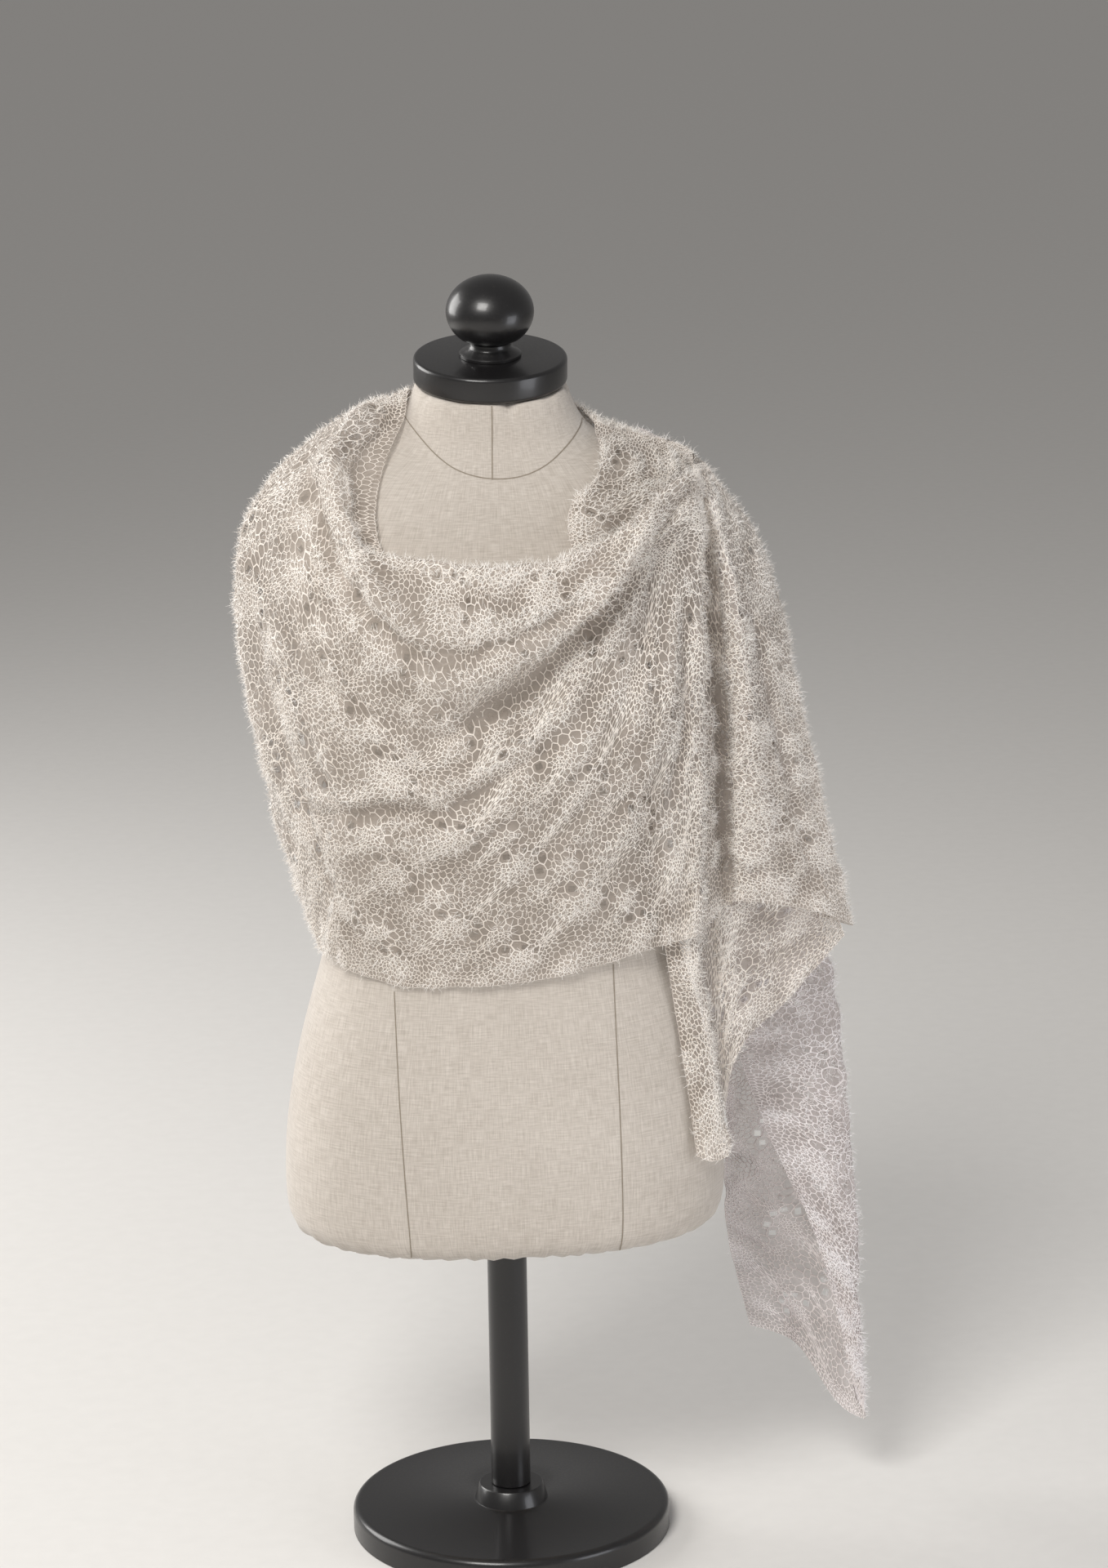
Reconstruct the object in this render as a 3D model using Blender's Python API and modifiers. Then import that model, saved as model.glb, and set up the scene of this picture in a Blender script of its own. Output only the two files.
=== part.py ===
"""A knitted lace shawl wound round a limbless dress form on a short stand.

Metres, +Z up, the form's front towards -Y. The origin is on the stand's axis, under its base.
The shawl is one length of lace. Each stretch of it that shows is a wall lofted through sections,
which run across the cloth from its neck edge to its lower hem.
"""

import math

import bmesh
import bpy
import numpy as np
from mathutils import Vector
from mathutils.bvhtree import BVHTree

MM = 0.001

# Driving sizes of the stand and the form
BASE_RADIUS = 0.130
BASE_HEIGHT = 0.022
BASE_EDGE_ROUND = 0.006
COLLAR_RADIUS = 0.030
COLLAR_TOP_RADIUS = 0.0255
COLLAR_HEIGHT = 0.014
POLE_RADIUS = 0.016
POLE_SIDES = 24
TURNED_STEPS = 32
EDGE_STEPS = 4
FORM_SIDES = 40
FORM_SQUARENESS = 2.35
CAP_RADIUS = 0.0595
CAP_HEIGHT = 0.020
CAP_BEVEL = 0.003
CAP_TILT = math.radians(10)
CAP_UNDERSIDE = 0.9485
KNOB_RADIUS = 0.034
KNOB_HEIGHT = 0.056
KNOB_WAIST = 0.016
KNOB_FOOT = 0.024
KNOB_FOOT_HEIGHT = 0.007
KNOB_FOOT_EDGE = 0.002
KNOB_WAIST_HEIGHT = 0.004
KNOB_STEPS = 9
KNOB_LOWEST = -45
TOUCH = 0.0003

# Driving sizes of the shawl
WALL = 0.002
SEAM = 0.0012
CELL = 0.021
EYELET = 0.008
EYELET_LEAST_CELL = 0.015
REST_CLEARANCE = 0.0043
LAYER_CLEARANCE = 0.0038
HEART_HEIGHT = 0.80
OUTSIDE = 1.5

# One row for each level of the form, in mm: height, half the width, how far the front and the back
# stand from the axis, and how much the level rises from front to back for each mm of depth.
FORM_LEVELS = (
    # height, half width, front, back, rise
    (262, 128, 80, 78, 0.0),
    (265, 158, 100, 98, 0.0),
    (274, 173, 112, 109, 0.0),
    (290, 178, 116, 113, 0.0),
    (345, 177, 116, 116, 0.0),
    (400, 168, 111, 113, 0.0),
    (450, 155, 104, 104, 0.0),
    (495, 141, 97, 94, 0.0),
    (540, 130, 92, 86, 0.0),
    (585, 128, 94, 84, 0.0),
    (635, 135, 104, 88, 0.0),
    (690, 146, 121, 94, 0.0),
    (740, 156, 130, 99, 0.0),
    (785, 162, 123, 102, 0.0),
    (825, 166, 106, 100, 0.0),
    (852, 163, 91, 92, 0.0),
    (870, 148, 82, 82, 0.0),
    (883, 124, 74, 75, 0.02),
    (894, 100, 68, 69, 0.05),
    (905, 82, 62, 64, 0.10),
    (918, 68, 58, 60, 0.15),
    (948, 58, 57, 57, math.tan(CAP_TILT)),
)

# The band's second pass runs from the left shoulder round the neck and the upper back, over the right
# shoulder, across the chest and over the left shoulder again. A section crosses the band from its
# upper edge to its lower hem. Places are x, y, z in mm.
WRAP_SECTIONS = (
    # collar, nape, shoulder, blade, rib, waist, hem
    ((78, -8, 914), (90, -6, 911), (104, -4, 907), (118, -3, 903),
     (132, -1, 899), (145, 1, 895), (158, 3, 887)),
    ((66, 22, 915), (84, 30, 911), (104, 37, 903), (124, 45, 889),
     (146, 50, 868), (160, 54, 842), (167, 58, 812)),
    ((46, 48, 922), (62, 64, 914), (80, 80, 898), (98, 92, 870),
     (110, 98, 835), (114, 102, 795), (112, 105, 755)),
    ((14, 64, 928), (18, 80, 918), (24, 96, 898), (30, 109, 862),
     (34, 115, 815), (34, 118, 765), (30, 118, 712)),
    ((-22, 62, 929), (-32, 78, 918), (-42, 95, 900), (-50, 109, 862),
     (-52, 115, 800), (-50, 113, 730), (-46, 108, 650)),
    ((-48, 44, 930), (-72, 60, 920), (-100, 80, 890), (-122, 94, 850),
     (-126, 99, 780), (-116, 95, 685), (-100, 86, 580)),
    ((-58, 27, 932), (-93, 37, 924), (-145, 48, 879), (-178, 56, 825),
     (-176, 60, 730), (-154, 58, 630), (-130, 48, 530)),
    ((-61, 6, 935), (-102, 8, 930), (-173, 10, 873), (-200, 12, 800),
     (-191, 12, 690), (-169, 12, 585), (-143, 12, 500)),
)

# The panel across the chest, from the edge inside the cowl over its rolled crest, through the valley
# under it and down the belly to the hem. Its last section is the flank behind its right fold.
PANEL_SECTIONS = (
    # inner edge, crest, roll, valley, belly, waist, hem
    ((-66, -20, 919), (-106, -22, 925), (-171, -22, 869), (-198, -24, 800),
     (-189, -30, 690), (-168, -32, 585), (-144, -28, 503)),
    ((-77, -58, 872), (-125, -62, 893), (-152, -64, 850), (-177, -68, 780),
     (-172, -76, 695), (-159, -66, 600), (-140, -46, 504)),
    ((-88, -94, 838), (-113, -107, 847), (-126, -116, 800), (-131, -118, 738),
     (-133, -112, 661), (-129, -92, 575), (-122, -68, 497)),
    ((-70, -112, 830), (-84, -131, 843), (-92, -148, 795), (-88, -140, 715),
     (-86, -134, 650), (-87, -112, 567), (-85, -90, 490)),
    ((-36, -118, 806), (-38, -148, 835), (-43, -166, 780), (-41, -146, 702),
     (-39, -140, 637), (-40, -121, 562), (-41, -103, 491)),
    ((-3, -120, 796), (-5, -153, 826), (-6, -169, 784), (4, -140, 725),
     (10, -144, 656), (10, -124, 574), (9, -106, 493)),
    ((37, -125, 800), (31, -145, 826), (36, -160, 796), (50, -130, 759),
     (60, -144, 680), (60, -120, 584), (64, -98, 501)),
    ((75, -116, 808), (73, -130, 839), (77, -145, 814), (92, -117, 796),
     (102, -133, 708), (102, -108, 598), (106, -84, 509)),
    ((108, -92, 828), (109, -111, 856), (114, -122, 841), (122, -98, 822),
     (132, -116, 721), (133, -100, 613), (132, -78, 514)),
    ((143, -60, 860), (147, -68, 880), (151, -80, 860), (149, -84, 815),
     (148, -102, 720), (148, -94, 617), (150, -80, 520)),
    ((152, -48, 884), (156, -56, 868), (157, -62, 830), (156, -68, 775),
     (157, -78, 690), (158, -74, 605), (161, -64, 527)),
)

# The drape over the left shoulder: a valley, a ridge, and the outer fold that turns to the back.
DRAPE_SECTIONS = (
    # shoulder, upper, bust, rib, waist, low, hem
    ((158, -38, 888), (162, -48, 850), (165, -52, 800), (168, -52, 735),
     (170, -52, 665), (172, -50, 600), (174, -46, 534)),
    ((163, -28, 889), (172, -56, 842), (178, -70, 785), (181, -72, 725),
     (183, -72, 660), (185, -68, 600), (187, -62, 541)),
    ((168, -15, 889), (192, -36, 830), (204, -46, 772), (214, -46, 715),
     (224, -45, 655), (234, -40, 592), (244, -34, 524)),
    ((176, -2, 886), (210, -8, 823), (228, -5, 757), (238, -1, 700),
     (250, 2, 645), (265, 4, 575), (284, 4, 500)),
    ((167, 14, 888), (197, 22, 820), (213, 27, 755), (226, 32, 698),
     (240, 34, 640), (256, 32, 572), (271, 30, 497)),
    ((157, 27, 890), (182, 40, 828), (195, 46, 765), (204, 49, 705),
     (214, 50, 642), (226, 47, 577), (238, 42, 508)),
)

# The first end, under the panel and the drape. Its sections are its fold lines, from the shoulder
# down to the short hem: the narrow front fold, the valley beside it, and the corner that rises.
FIRST_END_SECTIONS = (
    # shoulder, collar, chest, bust, waist, low, hem
    ((80, -12, 914), (60, -62, 884), (36, -104, 850), (76, -124, 735),
     (112, -76, 590), (127, -66, 490), (147, -84, 339)),
    ((92, -11, 911), (78, -65, 884), (66, -102, 848), (98, -116, 735),
     (128, -78, 590), (143, -70, 485), (160, -88, 336)),
    ((104, -10, 908), (100, -60, 882), (95, -92, 846), (118, -102, 735),
     (143, -74, 590), (156, -68, 480), (173, -82, 341)),
    ((118, -8, 904), (116, -48, 878), (118, -74, 840), (134, -80, 735),
     (152, -54, 595), (162, -46, 480), (173, -52, 356)),
    ((132, -6, 900), (132, -40, 876), (137, -60, 834), (150, -66, 730),
     (165, -44, 620), (176, -42, 520), (184, -46, 411)),
    ((144, -4, 896), (148, -28, 870), (157, -40, 818), (173, -44, 720),
     (194, -34, 620), (212, -28, 540), (229, -22, 449)),
    ((154, -2, 890), (160, -14, 864), (173, -20, 803), (196, -18, 715),
     (226, -14, 620), (252, -8, 556), (276, -4, 494)),
)

# The other end, thrown over the shoulder. Its sections run down from the shoulder: the slanting
# front edge, the outer fold, and the leg behind it out to its inner edge.
TAIL_SECTIONS = (
    # shoulder, upper, blade, waist, hip, thigh, low, hem
    ((152, 34, 896), (184, 58, 800), (200, 64, 690), (198, 54, 560),
     (186, 36, 430), (212, 21, 332), (258, 22, 222), (292, 30, 88)),
    ((160, 38, 893), (196, 62, 800), (223, 70, 690), (253, 64, 570),
     (277, 52, 440), (289, 43, 303), (295, 36, 180), (301, 34, 72)),
    ((156, 46, 893), (188, 75, 800), (211, 87, 690), (236, 86, 560),
     (256, 85, 430), (268, 80, 320), (276, 70, 215), (282, 56, 98)),
    ((146, 54, 894), (170, 87, 800), (184, 107, 690), (202, 110, 560),
     (220, 106, 430), (233, 99, 320), (241, 84, 220), (252, 64, 122)),
    ((134, 58, 896), (152, 86, 800), (162, 94, 690), (176, 93, 560),
     (190, 91, 430), (204, 88, 320), (213, 76, 225), (231, 58, 137)),
    ((120, 62, 898), (130, 88, 800), (139, 102, 700), (149, 106, 580),
     (166, 104, 440), (188, 88, 320), (184, 70, 238), (205, 62, 140)),
)

# The eyelets at each leaf's tip in a repeat of the lace, counted in cells along and across the cloth.
# The second three are the first three, half a repeat on.
REPEAT_CELLS = (4, 4)
REPEAT_EYELETS = ((0, 0), (1, 0), (1, 1), (2, 2), (3, 2), (3, 3))


def start_scene():
    for obj in list(bpy.data.objects):
        bpy.data.objects.remove(obj)
    group = bpy.data.collections.new("Lace shawl on a dress form")
    bpy.context.scene.collection.children.link(group)
    return group


def finish_of(name, colour, roughness):
    material = bpy.data.materials.new(name)
    material.use_nodes = True
    shader = material.node_tree.nodes["Principled BSDF"]
    shader.inputs["Base Color"].default_value = (*colour, 1.0)
    shader.inputs["Roughness"].default_value = roughness
    return material


def object_of(name, mesh, material, group, parent=None):
    obj = bpy.data.objects.new(name, mesh)
    mesh.materials.append(material)
    group.objects.link(obj)
    obj.parent = parent
    return obj


def turned(name, profile, material, group, parent=None):
    """A turned piece: its outer profile, as radius and height from the top down, swept round Z."""
    mesh = bpy.data.meshes.new(name)
    points = [(radius, 0.0, height) for radius, height in profile]
    mesh.from_pydata(points, [(i, i + 1) for i in range(len(points) - 1)], [])
    obj = object_of(name, mesh, material, group, parent)
    screw = obj.modifiers.new("Turn", "SCREW")
    screw.steps = TURNED_STEPS
    screw.render_steps = TURNED_STEPS
    screw.use_merge_vertices = True
    screw.merge_threshold = 1e-6
    return obj


def arc(centre, radius, first, last, steps):
    """Points of an arc as radius and height, from one angle to another in degrees."""
    angles = [math.radians(first + (last - first) * i / steps) for i in range(steps + 1)]
    return [(centre[0] + radius * math.cos(a), centre[1] + radius * math.sin(a)) for a in angles]


def make_base(material, group):
    inner = BASE_RADIUS - BASE_EDGE_ROUND
    edge = arc((inner, BASE_HEIGHT - BASE_EDGE_ROUND), BASE_EDGE_ROUND, 90, 0, EDGE_STEPS)
    collar_top = BASE_HEIGHT + COLLAR_HEIGHT
    profile = [(0.0, collar_top), (COLLAR_TOP_RADIUS, collar_top), (COLLAR_RADIUS, BASE_HEIGHT)]
    turned("stand_base", profile + edge + [(BASE_RADIUS, 0.0), (0.0, 0.0)], material, group)


def make_pole(material, group):
    bottom = BASE_HEIGHT + COLLAR_HEIGHT + TOUCH
    top = FORM_LEVELS[0][0] * MM - TOUCH
    mesh = bpy.data.meshes.new("stand_pole")
    shape = bmesh.new()
    round_bar = {"radius1": POLE_RADIUS, "radius2": POLE_RADIUS, "depth": top - bottom}
    bmesh.ops.create_cone(shape, cap_ends=True, segments=POLE_SIDES, **round_bar)
    shape.to_mesh(mesh)
    shape.free()
    pole = object_of("stand_pole", mesh, material, group)
    pole.location.z = (top + bottom) / 2


def form_point(level, turn):
    """The form's skin at one level and one turn, which starts at +X and goes towards the back."""
    height, half_width, front, back, rise = level
    power = 2 / FORM_SQUARENESS
    across = math.copysign(abs(math.cos(turn)) ** power, math.cos(turn))
    deep = math.copysign(abs(math.sin(turn)) ** power, math.sin(turn))
    depth = deep * (back if deep > 0 else front)
    return Vector((across * half_width, depth, height + rise * depth)) * MM


def make_form(material, group):
    shape = bmesh.new()
    rings = []
    for level in FORM_LEVELS:
        turns = [2 * math.pi * i / FORM_SIDES for i in range(FORM_SIDES)]
        rings.append([shape.verts.new(form_point(level, turn)) for turn in turns])
    for low, high in zip(rings, rings[1:]):
        for i in range(FORM_SIDES):
            j = (i + 1) % FORM_SIDES
            shape.faces.new((low[i], low[j], high[j], high[i]))
    shape.faces.new(rings[0][::-1])
    shape.faces.new(rings[-1])
    mesh = bpy.data.meshes.new("form_body")
    shape.to_mesh(mesh)
    skin = BVHTree.FromBMesh(shape)
    shape.free()
    mesh.shade_smooth()
    object_of("form_body", mesh, material, group)
    return skin


def make_cap_and_knob(material, group):
    """The turned cap and its knob stand on the neck's leaning top, in a frame of their own."""
    seat = bpy.data.objects.new("neck_seat", None)
    seat.location.z = CAP_UNDERSIDE
    seat.rotation_euler.x = CAP_TILT
    group.objects.link(seat)
    inner = CAP_RADIUS - CAP_BEVEL
    top_edge = arc((inner, CAP_HEIGHT - CAP_BEVEL), CAP_BEVEL, 90, 0, EDGE_STEPS)
    low_edge = arc((inner, CAP_BEVEL), CAP_BEVEL, 0, -90, EDGE_STEPS)
    turned("neck_cap", [(0.0, CAP_HEIGHT), *top_edge, *low_edge, (0.0, 0.0)], material, group, seat)
    foot = CAP_HEIGHT + TOUCH
    waist = foot + KNOB_FOOT_HEIGHT
    middle = waist + KNOB_HEIGHT / 2
    flattened = KNOB_HEIGHT / 2 / KNOB_RADIUS
    ball = arc((0.0, 0.0), KNOB_RADIUS, 90, KNOB_LOWEST, KNOB_STEPS)
    knob = [(radius, middle + flattened * height) for radius, height in ball]
    neck = [(KNOB_WAIST, waist + KNOB_WAIST_HEIGHT), (KNOB_WAIST, waist)]
    rim = [(KNOB_FOOT, foot + KNOB_FOOT_EDGE), (KNOB_FOOT, foot), (0.0, foot)]
    turned("finial", knob + neck + rim, material, group, seat)


def net_of(sections):
    return np.array(sections, float) * MM


def steps_of(net):
    """How many cells lie between each section of a net and the next."""
    gaps = np.linalg.norm(np.diff(net, axis=0), axis=2).mean(axis=1)
    return [max(1, round(gap / CELL)) for gap in gaps]


def filled(net):
    """The net with a smooth curve run through its sections, a cell apart."""
    before = 2 * net[0] - net[1]
    after = 2 * net[-1] - net[-2]
    line = [before, *net, after]
    rows = []
    for i, steps in enumerate(steps_of(net)):
        a, b, c, d = line[i : i + 4]
        for step in range(steps):
            t = step / steps
            bend = t**2 * (2 * a - 5 * b + 4 * c - d) + t**3 * (3 * b - a - 3 * c + d)
            rows.append(b + (t * (c - a) + bend) / 2)
    rows.append(net[-1])
    return np.array(rows)


def cloth_grid(net):
    """The cloth's middle surface: cells along it first, then across it."""
    along = filled(net)
    return filled(along.transpose(1, 0, 2)).transpose(1, 0, 2)


def skin_of(grid):
    """A grid of points as triangles that can be measured against."""
    along, across = grid.shape[:2]
    corners = [
        (i * across + j, (i + 1) * across + j, (i + 1) * across + j + 1, i * across + j + 1)
        for i in range(along - 1)
        for j in range(across - 1)
    ]
    return BVHTree.FromPolygons([tuple(point) for point in grid.reshape(-1, 3)], corners)


def laid_over(grid, skins):
    """The grid with each point at least a clearance outside what it lies on, seen from inside the form."""
    moved = grid.copy()
    for place in np.ndindex(grid.shape[:2]):
        point = Vector(grid[place])
        heart = Vector((0.0, 0.0, min(point.z, HEART_HEIGHT)))
        outward = point - heart
        reach = outward.length
        outward.normalize()
        for skin, clearance in skins:
            hit = skin.ray_cast(heart + outward * OUTSIDE, -outward, OUTSIDE)[0]
            if hit is not None:
                reach = max(reach, (hit - heart).length + clearance)
        moved[place] = heart + outward * reach
    return moved


def parted(grid):
    """A stretch whose first row is moved off the stretch before it by the seam's gap."""
    ahead = grid[1] - grid[0]
    moved = grid.copy()
    moved[0] += SEAM * ahead / np.linalg.norm(ahead, axis=1, keepdims=True)
    return moved


def make_cloth(name, grid, start, material, group):
    """A wall of the grid's shape, with the largest eyelets of each repeat cut through it.

    The repeats are counted from the start of the whole length, so they run on over a seam.
    """
    along, across = (size - 1 for size in grid.shape[:2])
    shape = bmesh.new()
    bmesh.ops.create_grid(shape, x_segments=across, y_segments=along, size=1.0)
    shape.verts.ensure_lookup_table()
    shape.faces.ensure_lookup_table()
    for vertex, point in zip(shape.verts, grid.reshape(-1, 3)):
        vertex.co = point
    eyelets = []
    for face in shape.faces:
        i, j = divmod(face.index, across)
        inside = 0 < i < along - 1 and 0 < j < across - 1
        shortest = min(edge.calc_length() for edge in face.edges)
        in_repeat = ((i + start) % REPEAT_CELLS[0], j % REPEAT_CELLS[1])
        if inside and in_repeat in REPEAT_EYELETS:
            if shortest > EYELET_LEAST_CELL:
                eyelets.append((face, EYELET / shortest))
    for face, share in eyelets:
        centre = face.calc_center_median()
        bmesh.ops.inset_individual(shape, faces=[face], thickness=0.0)
        for vertex in face.verts:
            vertex.co = centre.lerp(vertex.co, share)
    bmesh.ops.delete(shape, geom=[face for face, share in eyelets], context="FACES")
    mesh = bpy.data.meshes.new(name)
    shape.to_mesh(mesh)
    shape.free()
    mesh.shade_smooth()
    obj = object_of(name, mesh, material, group)
    wall = obj.modifiers.new("Wall", "SOLIDIFY")
    wall.thickness = WALL
    wall.offset = 0.0


def make_shawl(form_skin, material, group):
    form = (form_skin, REST_CLEARANCE)
    first_end = laid_over(cloth_grid(net_of(FIRST_END_SECTIONS)), [form])
    band = net_of(WRAP_SECTIONS + PANEL_SECTIONS + DRAPE_SECTIONS)
    side = sum(steps_of(band)[: len(WRAP_SECTIONS) - 1])
    flank = sum(steps_of(band)[: len(WRAP_SECTIONS + PANEL_SECTIONS) - 1])
    grid = cloth_grid(band)
    wrap = laid_over(grid[: side + 1], [form])
    end_skin = (skin_of(first_end), LAYER_CLEARANCE)
    panel = laid_over(grid[side : flank + 1], [form, end_skin])
    drape = laid_over(grid[flank:], [form, end_skin, (skin_of(wrap), LAYER_CLEARANCE)])
    under_tail = [form, (skin_of(wrap), LAYER_CLEARANCE), (skin_of(drape), LAYER_CLEARANCE)]
    tail = laid_over(cloth_grid(net_of(TAIL_SECTIONS)), under_tail)
    stretches = {
        "first_end": (first_end, 0),
        "back_wrap": (wrap, 0),
        "front_panel": (parted(panel), side),
        "shoulder_drape": (parted(drape), flank),
        "back_tail": (tail, 0),
    }
    for name, (points, start) in stretches.items():
        make_cloth(name, points, start, material, group)


def main():
    group = start_scene()
    black = finish_of("black satin painted wood", (0.012, 0.012, 0.013), 0.38)
    linen = finish_of("linen cover", (0.62, 0.56, 0.48), 0.85)
    lace = finish_of("mohair lace", (0.78, 0.73, 0.68), 0.9)
    make_base(black, group)
    make_pole(black, group)
    form_skin = make_form(linen, group)
    make_cap_and_knob(black, group)
    make_shawl(form_skin, lace, group)


main()
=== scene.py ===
"""A mohair lace shawl wound round a linen-covered dress form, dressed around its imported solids.

Metres, +Z up, the form's front towards -Y. The script follows the object as it is put together: the
stand, the covered form, its cap and knob, and then the shawl in the order in which it was put on.
"""

import math

import bpy
import numpy as np
from mathutils import Matrix, Vector
from mathutils.bvhtree import BVHTree
from mathutils.geometry import delaunay_2d_cdt


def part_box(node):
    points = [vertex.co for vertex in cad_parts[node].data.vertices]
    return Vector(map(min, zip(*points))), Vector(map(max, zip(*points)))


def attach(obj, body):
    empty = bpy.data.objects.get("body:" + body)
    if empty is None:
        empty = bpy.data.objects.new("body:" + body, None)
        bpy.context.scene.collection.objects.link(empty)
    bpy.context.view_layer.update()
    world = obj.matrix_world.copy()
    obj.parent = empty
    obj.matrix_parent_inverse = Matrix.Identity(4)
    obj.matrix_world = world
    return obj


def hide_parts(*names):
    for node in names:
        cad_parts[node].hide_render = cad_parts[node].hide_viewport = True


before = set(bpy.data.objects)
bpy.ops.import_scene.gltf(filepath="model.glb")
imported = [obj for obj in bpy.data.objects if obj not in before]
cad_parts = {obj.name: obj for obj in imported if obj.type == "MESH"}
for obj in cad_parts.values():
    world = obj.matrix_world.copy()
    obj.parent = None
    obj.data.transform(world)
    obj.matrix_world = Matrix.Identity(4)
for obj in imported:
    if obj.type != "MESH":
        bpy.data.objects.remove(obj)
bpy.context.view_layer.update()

MM = 0.001

# Stand base
# A disc of turned beech with a low collar for the pole, sprayed with satin black lacquer. The lacquer
# shows as a soft, wide highlight with a little dust in it.
BASE_RADIUS = 0.130
BASE_HEIGHT = 0.022
BASE_EDGE_ROUND = 0.006
COLLAR_RADIUS = 0.030
COLLAR_TOP_RADIUS = 0.0255
COLLAR_HEIGHT = 0.014
TURNED_SIDES = 128
LACQUER_BLACK = "#161516"
LACQUER_DUST = "#262422"
DUST_GRAIN = 1.6 * MM


def linear(colour):
    """An sRGB hex colour as the linear one that a shader takes."""
    parts = [int(colour[i : i + 2], 16) / 255 for i in (1, 3, 5)]
    return (*[((p + 0.055) / 1.055) ** 2.4 if p > 0.04045 else p / 12.92 for p in parts], 1.0)


def add_node(material, kind, settings=None, links=None):
    """Adds a shader node, sets its sockets and its other settings, and links other outputs to it."""
    made = material.node_tree.nodes.new(kind)
    for name, value in (settings or {}).items():
        if isinstance(name, int) or name in made.inputs:
            made.inputs[name].default_value = value
        else:
            setattr(made, name, value)
    for name, source in (links or {}).items():
        material.node_tree.links.new(source, made.inputs[name])
    return made


def new_material(name, sockets):
    """A material with its Principled shader's own sockets set, and that shader."""
    material = bpy.data.materials.new(name)
    material.use_nodes = True
    shader = material.node_tree.nodes["Principled BSDF"]
    for socket, value in sockets.items():
        shader.inputs[socket].default_value = value
    return material, shader


def turned(name, profile, material):
    """A turned piece: a disc at the profile's lowest ring, extruded and resized from ring to ring."""
    bpy.ops.object.select_all(action="DESELECT")
    radius, height = profile[0]
    bpy.ops.mesh.primitive_circle_add(
        vertices=TURNED_SIDES, radius=radius, fill_type="NGON", location=(0, 0, height)
    )
    piece = bpy.context.object
    piece.name = name
    bpy.ops.object.transform_apply(location=True, rotation=False, scale=False)
    bpy.ops.object.mode_set(mode="EDIT")
    for (radius, height), (next_radius, next_height) in zip(profile, profile[1:]):
        step = {"value": (0, 0, next_height - height)}
        bpy.ops.mesh.extrude_region_move(TRANSFORM_OT_translate=step)
        share = next_radius / radius
        bpy.ops.transform.resize(value=(share, share, 1), center_override=(0, 0, next_height))
    bpy.ops.mesh.select_all(action="SELECT")
    bpy.ops.mesh.normals_make_consistent(inside=False)
    bpy.ops.object.mode_set(mode="OBJECT")
    bpy.ops.object.shade_smooth_by_angle(angle=math.radians(40))
    piece.data.materials.append(material)
    return piece


def arc(centre, radius, first, last, steps):
    """Points of an arc as radius and height, from one angle to another in degrees."""
    angles = [math.radians(first + (last - first) * i / steps) for i in range(steps + 1)]
    return [(centre[0] + radius * math.cos(a), centre[1] + radius * math.sin(a)) for a in angles]


lacquer, shader = new_material(
    "satin black lacquer on turned beech",
    {"Roughness": 0.3, "Coat Weight": 0.3, "Coat Roughness": 0.12, "IOR": 1.5},
)
place = add_node(lacquer, "ShaderNodeTexCoord").outputs["Object"]
dust = add_node(lacquer, "ShaderNodeTexNoise", {"Scale": 1 / DUST_GRAIN, "Detail": 3.0}, {"Vector": place})
speck = add_node(
    lacquer, "ShaderNodeMapRange", {"From Min": 0.62, "From Max": 0.74}, {"Value": dust.outputs["Fac"]}
)
tone = add_node(
    lacquer,
    "ShaderNodeMix",
    {"data_type": "RGBA", 6: linear(LACQUER_BLACK), 7: linear(LACQUER_DUST)},
    {0: speck.outputs["Result"]},
)
lacquer.node_tree.links.new(tone.outputs[2], shader.inputs["Base Color"])
gloss = add_node(
    lacquer, "ShaderNodeMapRange", {"To Min": 0.26, "To Max": 0.42}, {"Value": dust.outputs["Fac"]}
)
lacquer.node_tree.links.new(gloss.outputs["Result"], shader.inputs["Roughness"])

rim = BASE_RADIUS - BASE_EDGE_ROUND
base_profile = [
    (BASE_RADIUS - 0.0008, 0.0),
    (BASE_RADIUS, 0.0008),
    *arc((rim, BASE_HEIGHT - BASE_EDGE_ROUND), BASE_EDGE_ROUND, 0, 90, 8),
    (COLLAR_RADIUS + 0.0015, BASE_HEIGHT),
    (COLLAR_RADIUS, BASE_HEIGHT + 0.001),
    (COLLAR_TOP_RADIUS + 0.001, BASE_HEIGHT + COLLAR_HEIGHT - 0.001),
    (COLLAR_TOP_RADIUS, BASE_HEIGHT + COLLAR_HEIGHT),
]
stand_base = turned("turned_base", base_profile, lacquer)
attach(stand_base, "root")
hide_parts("stand_base")

# Stand pole
# A beech dowel in the same lacquer, glued into the collar and let into the underside of the form.
POLE_RADIUS = 0.016
pole_low, pole_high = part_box("stand_pole")
pole_profile = [
    (POLE_RADIUS - 0.0006, pole_low.z),
    (POLE_RADIUS, pole_low.z + 0.0006),
    (POLE_RADIUS, pole_high.z),
]
pole = turned("turned_pole", pole_profile, lacquer)
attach(pole, "root")
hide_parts("stand_pole")

# Form cover
# A padded torso covered in unbleached plain-woven linen, cut in panels. The linen shows slubbed threads
# across and along, a matt surface, and thin seams down the front, the princess lines and the neck.
LINEN_PALE = "#d3cbc2"
LINEN_DEEP = "#b6ada3"
# The two seam colours are painted shade: the dark line that the shadow in each seam's groove makes.
SEAM_GROOVE_SHADE = "#857b6e"
SEAM_GROOVE_SHADE_PALE = "#a2988a"
# Real threads lie 0.5 mm apart, which is too fine to show, so they are drawn twice as coarse.
THREAD_SPACING = 1.1 * MM
SLUB_LENGTH = 14 * MM
PUCKER = 1.1 * MM
SEAM_HALF = 0.45 * MM
SEAM_STEP = 2.0 * MM
SEAM_LIFT = 0.25 * MM
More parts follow.
